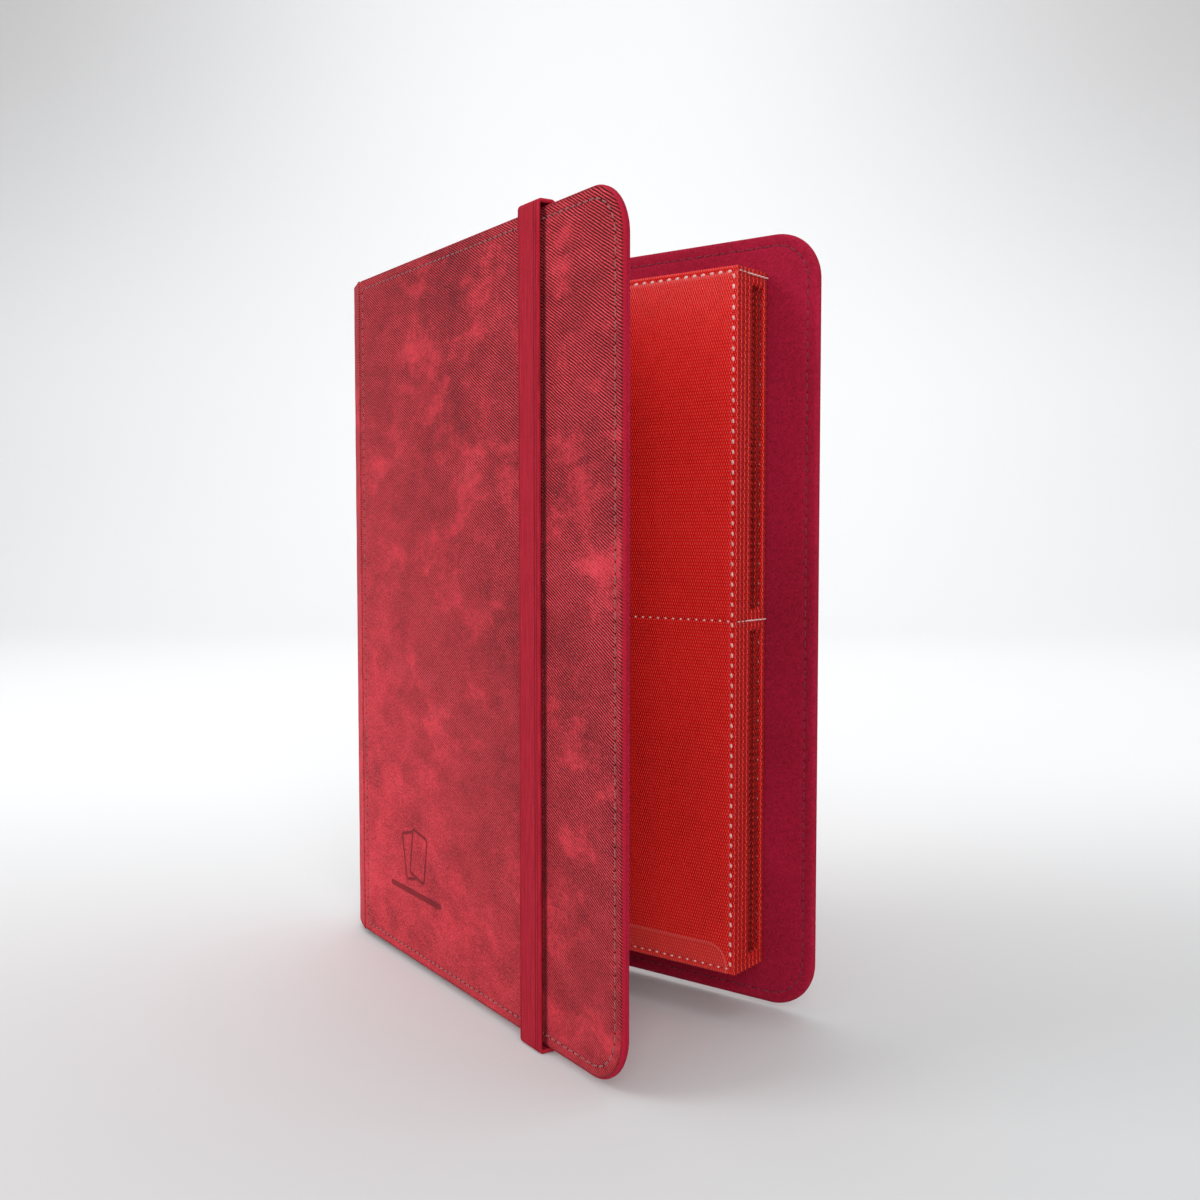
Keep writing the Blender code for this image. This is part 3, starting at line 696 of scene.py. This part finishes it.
def repaint(node, mat):
    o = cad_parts[node]
    if not o.material_slots:
        o.data.materials.append(mat)
    for s in o.material_slots:
        s.material = mat


for n in ("back_cover_board", "front_cover_board", "spine_board"):
    repaint(n, BOARD)
for n in ("binding_tape", "binding_sleeve"):
    repaint(n, BIND)
repaint("binding_cord", CORD)

# ================================================================ covers
LEATHER_PROFILE = [
    (9.0, 2.70), (7.2, 2.70), (5.6, 2.70), (4.9, 2.695), (4.4, 2.67), (4.0, 2.63), (3.7, 2.60), (3.5, 2.59),
    (3.3, 2.60), (3.0, 2.63), (2.6, 2.68), (2.2, 2.70), (1.7, 2.69), (1.25, 2.64), (0.88, 2.54), (0.58, 2.40),
    (0.34, 2.21), (0.17, 2.00), (0.06, 1.78), (0.0, 1.58), (0.02, 1.44), (0.12, 1.375), (0.5, 1.36), (1.0, 1.36),
]
LINING_PROFILE = [
    (9.0, 0.0), (6.0, 0.0), (4.9, 0.01), (4.3, 0.04), (3.9, 0.08), (3.5, 0.11), (3.1, 0.08), (2.7, 0.04),
    (2.2, 0.01), (1.6, 0.01), (1.1, 0.05), (0.7, 0.14), (0.42, 0.28), (0.22, 0.46), (0.10, 0.68), (0.05, 0.95),
    (0.06, 1.18), (0.16, 1.31), (0.5, 1.345), (1.0, 1.345),
]
front_box = (10.2, 175.2, Z0, Z1)
back_box = (-76.0, 89.0, Z0, Z1)
COVER_R = (R_FORE, R_FORE, R_SPINE, R_SPINE)
NF = (-SI, -CO, 0.0)


def cover(prefix, body, box, place, out, leather, shift):
    inn = tuple(-c for c in out)
    skin, (seam, total, count) = shell(f"{prefix}_skin", box, COVER_R, LEATHER_PROFILE, place, leather, pucker=0.14, probe=out, shift=shift)
    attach(skin, body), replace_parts(skin, f"{prefix}_leather"), skin
    inner, _ = shell(f"{prefix}_lining_skin", box, COVER_R, LINING_PROFILE, place, LINING, pucker=-0.10, probe=inn)
    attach(inner, body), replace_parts(inner, f"{prefix}_lining"), inner
    top = stitches(f"{prefix}_outer_stitches", [(seam, True, count)], place, 2.66, 1, [THREAD, HOLE], width=0.44, height=0.20,
                   length_share=0.74, dip=0.16, hole=0.26, hole_lift=-0.13 + 0.02, seed=3)
    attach(top, body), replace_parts(top, f"{prefix}_needle_thread"), top
    low = stitches(f"{prefix}_inner_stitches", [(seam, True, count)], place, 0.04, -1, [THREAD_IN, HOLE], width=0.42, height=0.18,
                   length_share=0.74, dip=0.16, hole=0.17, hole_lift=-0.09 + 0.02, seed=4)
    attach(low, body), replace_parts(low, f"{prefix}_bobbin_thread"), low


cover("front_cover", "front_cover", front_box, front_panel, NF, LEATHER_FRONT, (0.0, 0.0))
cover("back_cover", "back_cover", back_box, back_panel, (0, 1, 0), LEATHER, (86.2, 0.0))

# ================================================================ spine panel
SPINE_Z0, SPINE_Z1 = STRIP_Z0 - 0.9, STRIP_Z1 + 0.9


def spine_panel(u, d, v):
    """u across the spine (row Y), d outwards from the lining's face, v up."""
    u, d, v = np.broadcast_arrays(np.asarray(u, float), np.asarray(d, float), np.asarray(v, float))
    return np.stack([-86.3 - d, u, v], -1)


SP_OUT = [(3.6, 2.70), (2.6, 2.70), (1.8, 2.70), (1.2, 2.69), (0.8, 2.64), (0.5, 2.54), (0.26, 2.38), (0.1, 2.16), (0.02, 1.9), (0.0, 1.6), (0.1, 1.4), (0.6, 1.36)]
SP_IN = [(3.6, 0.05), (2.2, 0.05), (1.2, 0.06), (0.7, 0.1), (0.4, 0.2), (0.18, 0.42), (0.08, 0.7), (0.05, 1.0), (0.12, 1.28), (0.6, 1.34)]
sp_box = (SPINE_Y0 - 0.4, SPINE_Y1 + 0.4, SPINE_Z0, SPINE_Z1)
sp_skin, _ = shell("spine_skin", sp_box, (0.6,) * 4, SP_OUT, spine_panel, LEATHER, step=1.5, ref=1.8, probe=(-1, 0, 0), shift=(17.5, 0.0), flow=-1.0)
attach(sp_skin, "spine"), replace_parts(sp_skin, "spine_leather"), sp_skin
sp_in, _ = shell("spine_lining_skin", sp_box, (0.6,) * 4, SP_IN, spine_panel, LINING, step=1.5, ref=1.2, probe=(1, 0, 0))
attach(sp_in, "spine"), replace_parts(sp_in, "spine_lining"), sp_in


# ================================================================ flexible strips
def ribbon_sheet(name, line, thickness, z0, z1, mat, rows=90, u0=0.0, wrinkle=0.0, seed=5, flow=1.0):
    """A strip that follows a line in plan, with a round turned edge along its top and bottom."""
    line = np.asarray(line, float)
    t = np.gradient(line, axis=0)
    t /= np.linalg.norm(t, axis=1)[:, None]
    nrm = np.column_stack([-t[:, 1], t[:, 0]])
    cum = np.concatenate([[0], np.cumsum(np.linalg.norm(np.diff(line, axis=0), axis=1))])
    zs = np.linspace(z0, z1, rows)
    h = thickness / 2
    # half-thickness and height along the strip's edge, rounded
    turn = [(zs[0] + h * (1 - math.cos(a)), math.sin(a)) for a in np.linspace(0.15, math.pi / 2, 4)]
    top = [(zs[-1] - h * (1 - math.cos(a)), math.sin(a)) for a in np.linspace(math.pi / 2, 0.15, 4)]
    levels = turn + [(z, 1.0) for z in zs[1:-1]] + top
    r = np.random.default_rng(seed)
    k = len(line)
    verts, pats = [], []
    wr = [(r.uniform(5, 26), r.uniform(0, 6.28), r.normal()) for _ in range(7)]
    for z, share in levels:
        off = sum(a * math.sin(2 * math.pi * z / l + ph) for l, ph, a in wr) * wrinkle / 2
        bell = np.sin(np.pi * cum / cum[-1]) ** 2
        mid = line + nrm * (off * bell)[:, None]
        a = mid + nrm * h * share
        b = mid - nrm * h * share
        loop = np.vstack([a, b[::-1]])
        verts.append(np.column_stack([loop, np.full(len(loop), z)]))
        uu = np.concatenate([cum, cum[::-1] + 0.3])
        pats.append(np.column_stack([flow * uu + u0, np.full(len(loop), z), np.zeros(len(loop))]))
    n = 2 * k
    v = np.concatenate(verts)
    faces = ring_faces(len(levels), n)
    # close the ends with quads across the ribbon
    for base, flip in ((0, True), ((len(levels) - 1) * n, False)):
        for j in range(k - 1):
            f = (base + j, base + j + 1, base + n - 2 - j, base + n - 1 - j)
            faces.append(tuple(reversed(f)) if flip else f)
    o = make(name, v, faces, [mat], np.concatenate(pats))
    import bmesh
    bm = bmesh.new()
    bm.from_mesh(o.data)
    bmesh.ops.recalc_face_normals(bm, faces=bm.faces)
    bm.to_mesh(o.data)
    bm.free()
    return o


def bez(a, b, c, n):
    t = np.linspace(0, 1, n)[:, None]
    return (1 - t) ** 2 * np.array(a) + 2 * t * (1 - t) * np.array(b) + t * t * np.array(c)


def bez3(a, b, c, d, n):
    t = np.linspace(0, 1, n)[:, None]
    return (1 - t) ** 3 * np.array(a) + 3 * t * (1 - t) ** 2 * np.array(b) + 3 * t * t * (1 - t) * np.array(c) + t ** 3 * np.array(d)


def leather_line(start, hinge_y, sign, spine_y):
    bend = np.array([FH[0] - 0.7, hinge_y + sign * 0.65])
    start = np.array(start)
    run = (bend - start) / np.linalg.norm(bend - start)
    inward = np.array([-run[1], run[0]]) * (-sign)
    half = 0.275
    a = start + run * 0.1 + inward * (half + 0.12)
    b = bend + inward * half
    c = np.array([SPINE_OUT + half, spine_y + sign * 0.35])
    c[0] += 0.12
    part1 = a + (b - a) * np.linspace(0, 1, 9)[:-1, None]
    part2 = bez(b, (SPINE_OUT + half + 0.1, spine_y - sign * 1.5), c, 16)
    return np.vstack([part1, part2])


start_f = front(10.2, -2.8, 0)[:2]
start_b = (-76.0, BACK_IN + COVER_T)
strips = []
line_f = leather_line(start_f, FH[1], +1, SPINE_Y0)
line_b = leather_line(start_b, BH[1], -1, SPINE_Y1)
outer_f = ribbon_sheet("front_hinge_skin", line_f, 0.55, SPINE_Z0, SPINE_Z1, LEATHER, u0=10.0, wrinkle=0.05, seed=21, flow=-1.0)
outer_b = ribbon_sheet("back_hinge_skin", line_b, 0.55, SPINE_Z0, SPINE_Z1, LEATHER, u0=-32.3, wrinkle=0.05, seed=22)
LIN_END_X = -86.6
f0 = front(9.9, -0.1 - 0.30, 0)[:2]
line_fi = bez(f0, (-83.5, 19.21718), (LIN_END_X, SPINE_Y0 - 0.2), 14)
line_bi = bez((-76.2, BACK_IN + 0.30), (-85.0, BACK_IN - 0.1), (LIN_END_X, SPINE_Y1 + 0.2), 14)
inner_f = ribbon_sheet("front_hinge_lining_skin", line_fi, 0.5, SPINE_Z0, SPINE_Z1, LINING, wrinkle=0.12, seed=23)
inner_b = ribbon_sheet("back_hinge_lining_skin", line_bi, 0.5, SPINE_Z0, SPINE_Z1, LINING, wrinkle=0.12, seed=24)
for o, node, body, line, slot in (
    (outer_f, "front_hinge_leather", "front_cover", line_f, "cover_leather"),
    (inner_f, "front_hinge_lining", "front_cover", line_fi, "cover_lining"),
    (outer_b, "back_hinge_leather", "back_cover", line_b, "cover_leather"),
    (inner_b, "back_hinge_lining", "back_cover", line_bi, "cover_lining"),
):
    length = float(np.linalg.norm(np.diff(line, axis=0), axis=1).sum()) * MM
    # the back lining's two points are taken nearer the hinge line than the others', meant to keep clear of the first
    # leaf when that is turned right over; nothing uses them further
    first, last = (7, -1) if node == "back_hinge_lining" else (2, -3)
    a = np.array([line[first][0], line[first][1], 117.0]) * MM
    b = np.array([line[last][0], line[last][1], 117.0]) * MM
    tuple(a)
    tuple(b)
    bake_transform(o)
    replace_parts(o, node), o

# ================================================================ elastic band, one length of webbing
def band():
    t = 1.2
    half = t / 2
    y_out = -4.7 + half          # middle of the webbing on the leather side
    y_in = 0.3 + half
    zt, zb = 233.8 - half, half
    pts = []
    r = 0.95
    for z in np.linspace(zt - 11.6, zt - r, 10):
        pts.append((y_in, z))
    for a in np.linspace(0, 90, 7)[1:]:
        pts.append((y_in - r + r * math.cos(math.radians(a)), zt - r + r * math.sin(math.radians(a))))
    for a in np.linspace(90, 180, 7)[1:]:
        pts.append((y_out + r + r * math.cos(math.radians(a)), zt - r + r * math.sin(math.radians(a))))
    zs = np.linspace(zt - r, zb + r, 110)[1:]
    for z in zs:
        pts.append((y_out, z))
    for a in np.linspace(180, 270, 7)[1:]:
        pts.append((y_out + r + r * math.cos(math.radians(a)), zb + r + r * math.sin(math.radians(a))))
    for a in np.linspace(270, 360, 7)[1:]:
        pts.append((y_in - r + r * math.cos(math.radians(a)), zb + r + r * math.sin(math.radians(a))))
    for z in np.linspace(zb + r, zb + 11.6, 10)[1:]:
        pts.append((y_in, z))
    line = np.array(pts)
    tg = np.gradient(line, axis=0)
    tg /= np.linalg.norm(tg, axis=1)[:, None]
    # outward side of the webbing: away from the cover
    out = np.column_stack([-tg[:, 1], tg[:, 0]])
    mid = len(line) // 2
    if out[mid][0] > 0:
        out = -out
    # section across the width: (offset across, outward offset), a rib along each edge and a double one at the right
    w = BAND_X1 - BAND_X0
    outer = []
    for u in np.linspace(0, w, 67):
        e = min(u, w - u)
        h = half - 0.02
        if e < 0.55:
            h = half * math.sqrt(max(0.0, 1 - ((0.55 - e) / 0.55) ** 2 * 0.9))
        for c in (0.95, w - 0.95, w - 2.05, 2.05):
            h -= 0.10 * math.exp(-(((u - c) / 0.17) ** 2))
        h += 0.02 * math.cos(2 * math.pi * u / 0.72)
        outer.append((u, h))
    inner = [(u, -h if True else 0) for u, h in reversed(outer[1:-1])]
    inner = [(u, -min(half, abs(h))) for u, h in inner]
    section = outer + inner
    m = len(section)
    cum = np.concatenate([[0], np.cumsum(np.linalg.norm(np.diff(line, axis=0), axis=1))])
    verts, pats = [], []
    for i in range(len(line)):
        for u, h in section:
            yy = line[i, 0] + out[i, 0] * h
            zz = line[i, 1] + out[i, 1] * h
            verts.append((BAND_X0 + u, yy, zz))
            pats.append((u, cum[i], h))
    verts = np.array(verts)
    faces = ring_faces(len(line), m)
    faces.append(tuple(range(m)))
    faces.append(tuple(reversed(range((len(line) - 1) * m, len(line) * m))))
    o = make("elastic_band_webbing", front(verts[:, 0], verts[:, 1], verts[:, 2]), faces, [ELASTIC], pats)
    import bmesh
    bm = bmesh.new()
    bm.from_mesh(o.data)
    bmesh.ops.recalc_face_normals(bm, faces=bm.faces)
    bm.to_mesh(o.data)
    bm.free()
    return o, float(cum[-1])


webbing, band_len = band()
tuple(front(131.7, 0.2, 117.0) * MM)
tuple(front(131.7, -3.4, 117.0) * MM)
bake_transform(webbing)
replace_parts(webbing, "band_strip", "band_top_return", "band_bottom_return", "band_top_tail", "band_bottom_tail")

# ================================================================ leaves
def sorted_lines(a, b, step, marks):
    """Grid lines from a to b, with finer ones round each mark."""
    g = list(np.linspace(a, b, int(round((b - a) / step)) + 1))
    for m in marks:
        for o in (-2.4, -1.5, -0.95, -0.55, -0.28, 0.0, 0.28, 0.55, 0.95, 1.5, 2.4):
            if a < m + o < b:
                g.append(m + o)
    g = sorted(g)
    out = [g[0]]
    for x in g[1:]:
        if x - out[-1] > 0.16:
            out.append(x)
    out[-1] = b
    return np.array(out)


SEAM_US = (LEAF_X0 + 2.0, MID_X, LEAF_X1 - 2.0)
SEAM_VS = (PAGE_Z0 + 1.6, MID_Z, PAGE_Z1 - 1.6)
RECESS = {5: 1.28, 6: 1.34, 7: 0.92}     # these leaves stand back a little between their cross seams


def edge_back(k, v):
    """How far leaf k's fore edge stands back at height v, with the small waves of its pressed edge."""
    v = np.asarray(v, float)
    near = np.min([np.abs(v - s) for s in SEAM_VS], axis=0)
    window = np.clip((near - 2.6) / 1.2, 0, 1)
    window = window * window * (3 - 2 * window)
    if k in RECESS:
        blocks = np.clip(np.sin(2 * np.pi * v / 1.95 + 0.9 * k) * 2.2, -1, 1)
        return window * (RECESS[k] + 0.17 * blocks)
    return 0.14 + 0.14 * np.sin(2 * np.pi * v / 2.1 + 2.4 * k) * window


def film(k, which):
    """One clear pocket sheet: drawn down along the seams, slightly full between them."""
    sign = 1 if which == "front" else -1
    y = LEAF_FRONT + (k - 1) * LEAF_STEP
    r = np.random.default_rng(100 + 2 * k + (which == "back"))
    e = 0.05
    us = sorted_lines(LEAF_X0 + e, LEAF_X1 - e, 5.0, SEAM_US)
    vs = sorted_lines(PAGE_Z0 + e, PAGE_Z1 - e, 0.98, SEAM_VS)
    U, V = np.meshgrid(us, vs)
    du = np.min([np.abs(U - s) for s in SEAM_US], axis=0)
    dv = np.min([np.abs(V - s) for s in SEAM_VS], axis=0)
    near = np.minimum(du, dv)
    seam = np.exp(-((near / 0.55) ** 2))
    full = 1 - np.exp(-near / 5.0)
    waves = sum(r.normal() * np.sin(U / r.uniform(9, 30) + V / r.uniform(12, 40) + r.uniform(0, 6.28)) for _ in range(5)) / 3.2
    lift = 0.07 + 0.10 * full + 0.05 * waves * full
    depth = 0.30 - lift * (1 - seam) + 0.10 * seam
    depth = np.clip(depth, 0.06, 0.42)
    if which == "front":
        Y = y + depth
        Yb = y + 0.50
    else:
        Y = y + 1.79 - depth
        Yb = y + 1.29
    rows, cols = U.shape
    pull = np.clip((U - 71.25) / (LEAF_X1 - e - 71.25), 0, 1)
    set_back = pull * edge_back(k, V)
    U = U - set_back - 0.30 * pull
    top = np.column_stack([U.ravel(), Y.ravel(), V.ravel()])
    faces = []
    for i in range(rows - 1):
        for j in range(cols - 1):
            a = i * cols + j
            faces.append((a, a + 1, a + cols + 1, a + cols))
    border = [j for j in range(cols)] + [i * cols + cols - 1 for i in range(1, rows)] \
        + [(rows - 1) * cols + j for j in range(cols - 2, -1, -1)] + [i * cols for i in range(rows - 2, 0, -1)]
    n = len(top)
    under = top[border].copy()
    under[:, 1] = Yb
    verts = np.vstack([top, under])
    m = len(border)
    for j in range(m):
        q = (j + 1) % m
        faces.append((border[q], border[j], n + j, n + q))
    faces.append(tuple(reversed(range(n, n + m))))
    if sign < 0:
        faces = [tuple(reversed(f)) for f in faces]
    depth_back = np.concatenate([set_back.ravel(), set_back.ravel()[border]])
    pat = np.column_stack([verts[:, 0], verts[:, 2], depth_back])
    return make(f"leaf_{k:02d}_{which}_pocket_film", verts, faces, [FILM], pat)


def leaf_backing(k):
    """Backing cloth with its root, which runs on to the sleeve in a fan."""
    y = LEAF_FRONT + (k - 1) * LEAF_STEP + 0.57 + 0.325
    half = 0.325
    ang = math.radians(-68 + (k - 1) * 19.4)
    hit = np.array([AXIS[0] + (SLEEVE_R + 0.22) * math.cos(ang), AXIS[1] + (SLEEVE_R + 0.22) * math.sin(ang)])
    away = np.array([math.cos(ang), math.sin(ang)])
    root = bez3(hit, hit + away * 1.3, (LEAF_X0 - 1.2, y), (LEAF_X0 + 0.6, y), 10)
    flat = np.column_stack([[LEAF_X0 + 3.0, -40.0, 0.0, 40.0, 68.0, 71.3, 72.4, LEAF_X1], np.full(8, y)])
    line = np.vstack([root, flat])
    thick = np.concatenate([np.linspace(0.16, half, len(root)), np.full(len(flat), half)])
    thick[-1] = half * 0.55
    t = np.gradient(line, axis=0)
    t /= np.linalg.norm(t, axis=1)[:, None]
    nrm = np.column_stack([-t[:, 1], t[:, 0]])
    cum = np.concatenate([[0], np.cumsum(np.linalg.norm(np.diff(line, axis=0), axis=1))])
    zs = np.concatenate([[PAGE_Z0, PAGE_Z0 + 0.3], np.arange(PAGE_Z0 + 0.8, PAGE_Z1 - 0.7, 0.325), [PAGE_Z1 - 0.3, PAGE_Z1]])
    pull = np.clip((line[:, 0] - 71.2) / (LEAF_X1 - 71.2), 0, 1)
    back = edge_back(k, zs)
    verts, pats = [], []
    for i, z in enumerate(zs):
        share = 0.55 if i in (0, len(zs) - 1) else 1.0
        here = line - np.column_stack([pull * back[i], np.zeros(len(line))])
        a = here + nrm * (thick * share)[:, None]
        b = here - nrm * (thick * share)[:, None]
        loop = np.vstack([a, b[::-1]])
        verts.append(np.column_stack([loop, np.full(len(loop), z)]))
        set_back = pull * back[i]
        pats.append(np.column_stack([np.concatenate([cum, cum[::-1]]), np.full(len(loop), z), np.concatenate([set_back, set_back[::-1]])]))
    n = 2 * len(line)
    faces = ring_faces(len(zs), n)
    c = len(line)
    for base, flip in ((0, True), ((len(zs) - 1) * n, False)):
        for j in range(c - 1):
            f = (base + j, base + j + 1, base + n - 2 - j, base + n - 1 - j)
            faces.append(tuple(reversed(f)) if flip else f)
    o = make(f"leaf_{k:02d}_backing_cloth", np.concatenate(verts), faces, [CLOTH], np.concatenate(pats), smooth=False)
    return o, float(cum[-1])


def thread_wrap(y, v, whole):
    """The cross seam's thread where it passes over a leaf's fore edge."""
    x1 = LEAF_X1 - 0.02
    path = np.array([(x1 - 2.3, y + 0.30), (x1 - 0.7, y + 0.14), (x1 + 0.02, y + 0.34), (x1 + 0.10, y + 0.9),
                     (x1 + 0.02, y + 1.46), (x1 - 0.7, y + 1.66), (x1 - 2.3, y + 1.50)])
    if not whole:
        path = path[2:5]
    r = 0.20
    t = np.gradient(path, axis=0)
    t /= np.linalg.norm(t, axis=1)[:, None]
    n = np.column_stack([t[:, 1], -t[:, 0]])
    verts, pats = [], []
    cum = np.concatenate([[0], np.cumsum(np.linalg.norm(np.diff(path, axis=0), axis=1))])
    for i in range(len(path)):
        for a in np.radians(np.arange(6) * 60):
            q = path[i] + n[i] * r * 0.7 * math.cos(a)
            verts.append((q[0], q[1], v + r * math.sin(a)))
            pats.append((cum[i], r * math.sin(a), 0))
    return np.array(verts), ring_faces(len(path), 6), np.array(pats)


def leaf_threads(k):
    y = LEAF_FRONT + (k - 1) * LEAF_STEP

    def place(u, d, v):
        u, d, v = np.broadcast_arrays(np.asarray(u, float), np.asarray(d, float), np.asarray(v, float))
        return np.stack([u, y + d, v], -1)

    fore = SEAM_US[2] - (1.6 if k in RECESS else 0.0)
    runs = [(np.array([(s, PAGE_Z1 - 1.6), (s, PAGE_Z0 + 1.6)]), False, 69) for s in (SEAM_US[0], SEAM_US[1], fore)]
    runs.append((np.array([(LEAF_X0 + 2, SEAM_VS[2]), (LEAF_X1 - 2, SEAM_VS[2])]), False, 47))
    dots = [(np.array([(LEAF_X0 + 2, s), (LEAF_X1 - 2, s)]), False, 51) for s in SEAM_VS[:2]]
    six = np.array([-1, -0.8, 0.0, 0.8, 1.0])
    wraps = [thread_wrap(y, v, k > 3) for v in SEAM_VS[1:]]
    phis = np.radians([0, 60, 120, 180])
    a = stitches(f"leaf_{k:02d}_front_stitches", runs, place, 0.33, -1, [PAGE_THREAD, HOLE], width=1.0 if k == 1 else 0.75,
                 height=0.31 if k == 1 else 0.16, length_share=0.44, dip=0.12, hole=0.15, slant=16, jitter=0.03, sections=six, phis=phis, hole_lift=-0.02, seed=40 + k,
                 extra=wraps)
    c = stitches(f"leaf_{k:02d}_front_dots", dots, place, 0.33, -1, [PAGE_THREAD, HOLE], width=0.62, height=0.26,
                 length_share=0.30, dip=0.10, hole=0.20, slant=0, jitter=0.03, sections=six, phis=phis, hole_lift=-0.02, seed=80 + k)
    b = stitches(f"leaf_{k:02d}_back_stitches", runs + dots, place, 1.46, 1, [PAGE_THREAD, HOLE], width=0.6, height=0.16,
                 length_share=0.5, dip=0.10, hole=0, slant=0, jitter=0.02, sections=six, phis=phis, seed=60 + k)
    return a, b, c


for k in range(1, LEAVES + 1):
    body = f"leaf_{k:02d}"
    for which in ("front", "back"):
        f = film(k, which)
        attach(f, body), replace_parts(f, f"{body}_{which}_film"), f
    cloth, width = leaf_backing(k)
    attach(cloth, body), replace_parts(cloth, f"{body}_backing"), cloth
    a, b, c = leaf_threads(k)
    for o in (a, b, c):
        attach(o, body), o
    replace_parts(a, f"{body}_seam_thread")

# ================================================================ floor, light, camera
def floor_material():
    m = Nodes("pale_floor")
    p = m.obj(1.0)
    x, y, z = m.xyz(p)[:3]
    v = m.noise(p, 1.2, 2.0)
    depth = m.math("ADD", m.math("MULTIPLY", x, -0.60961), m.math("MULTIPLY", y, 0.79270))
    side = m.math("ADD", m.math("MULTIPLY", x, 0.79270), m.math("MULTIPLY", y, 0.60961))
    near = m.step(depth, 0.42, -0.18)
    high = m.step(z, 0.35, 1.3)
    edge = m.step(m.math("ABSOLUTE", side), 0.1, 1.3)
    c = m.mix(v, srgb(241, 242, 243), srgb(244, 245, 246))
    # painted shade: the floor made darker from under the object towards the camera
    c = m.mix(m.math("MULTIPLY", near, 0.85), c, srgb(202, 204, 205))
    # painted shade: the backdrop made darker higher up the wall and towards its sides
    c = m.mix(m.math("MULTIPLY", m.math("MULTIPLY", high, m.math("MULTIPLY_ADD", edge, 0.82, 0.18)), 0.66), c, srgb(190, 188, 189))
    return m.done(m.shader(c, 0.75, None, Specular_IOR_Level=0.25))


def backdrop():
    """A floor that runs back and curves up into a wall, across the camera's line of sight."""
    fwd = Vector((-0.60961, 0.79270))
    side = Vector((0.79270, 0.60961))
    prof = [(-3.0, 0.0), (-1.0, 0.0), (0.0, 0.0), (1.4, 0.0)]
    rad = 0.9
    for a in np.linspace(0, 90, 13)[1:]:
        prof.append((1.4 + rad * math.sin(math.radians(a)), rad * (1 - math.cos(math.radians(a)))))
    prof.append((1.4 + rad, 4.0))
    verts, faces = [], []
    for d, h in prof:
        for s in (-4.0, -1.5, 0.0, 1.5, 4.0):
            q = fwd * d + side * s
            verts.append((q.x * 1000, q.y * 1000, h * 1000))
    for i in range(len(prof) - 1):
        for j in range(4):
            a = i * 5 + j
            faces.append((a, a + 1, a + 6, a + 5))
    o = make("backdrop", verts, faces, [floor_material()])


backdrop()


def area(name, loc, target, size, power, color=(1, 1, 1)):
    d = bpy.data.lights.new(name, "AREA")
    d.shape = "RECTANGLE"
    d.size, d.size_y = size
    d.energy = power
    d.color = color
    o = bpy.data.objects.new(name, d)
    bpy.context.scene.collection.objects.link(o)
    o.location = loc
    o.rotation_euler = (Vector(target) - Vector(loc)).to_track_quat("-Z", "Y").to_euler()
    return o


area("key_left", (-0.75, -0.85, 0.95), (0, 0, 0.1), (0.7, 0.7), 6.4)
area("fill_right", (0.88, -0.88, 0.62), (0.03, 0.03, 0.12), (0.7, 0.7), 8.0)
area("overhead", (0.0, 0.1, 1.5), (0, 0, 0.0), (1.6, 1.6), 5.2)
area("wall_wash", (-0.30, 0.60, 1.6), (-1.10, 1.95, 0.7), (2.0, 0.8), 15)

world = bpy.data.worlds.new("studio")
bpy.context.scene.world = world
world.use_nodes = True
bg = world.node_tree.nodes["Background"]
bg.inputs[0].default_value = (1, 1, 1, 1)
bg.inputs[1].default_value = 0.56

cam = bpy.data.cameras.new("camera")
cam.lens = 38.854
cam.sensor_width = 36.0
cam.clip_start, cam.clip_end = 0.01, 30
co = bpy.data.objects.new("camera", cam)
bpy.context.scene.collection.objects.link(co)
co.location = (0.26878, -0.29854, 0.14489)
pitch = 0.0537225
fwd = Vector((-0.60961 * math.cos(pitch), 0.79270 * math.cos(pitch), -math.sin(pitch)))
co.rotation_euler = fwd.to_track_quat("-Z", "Y").to_euler()
bpy.context.scene.camera = co

bpy.context.scene.view_settings.view_transform = "Standard"
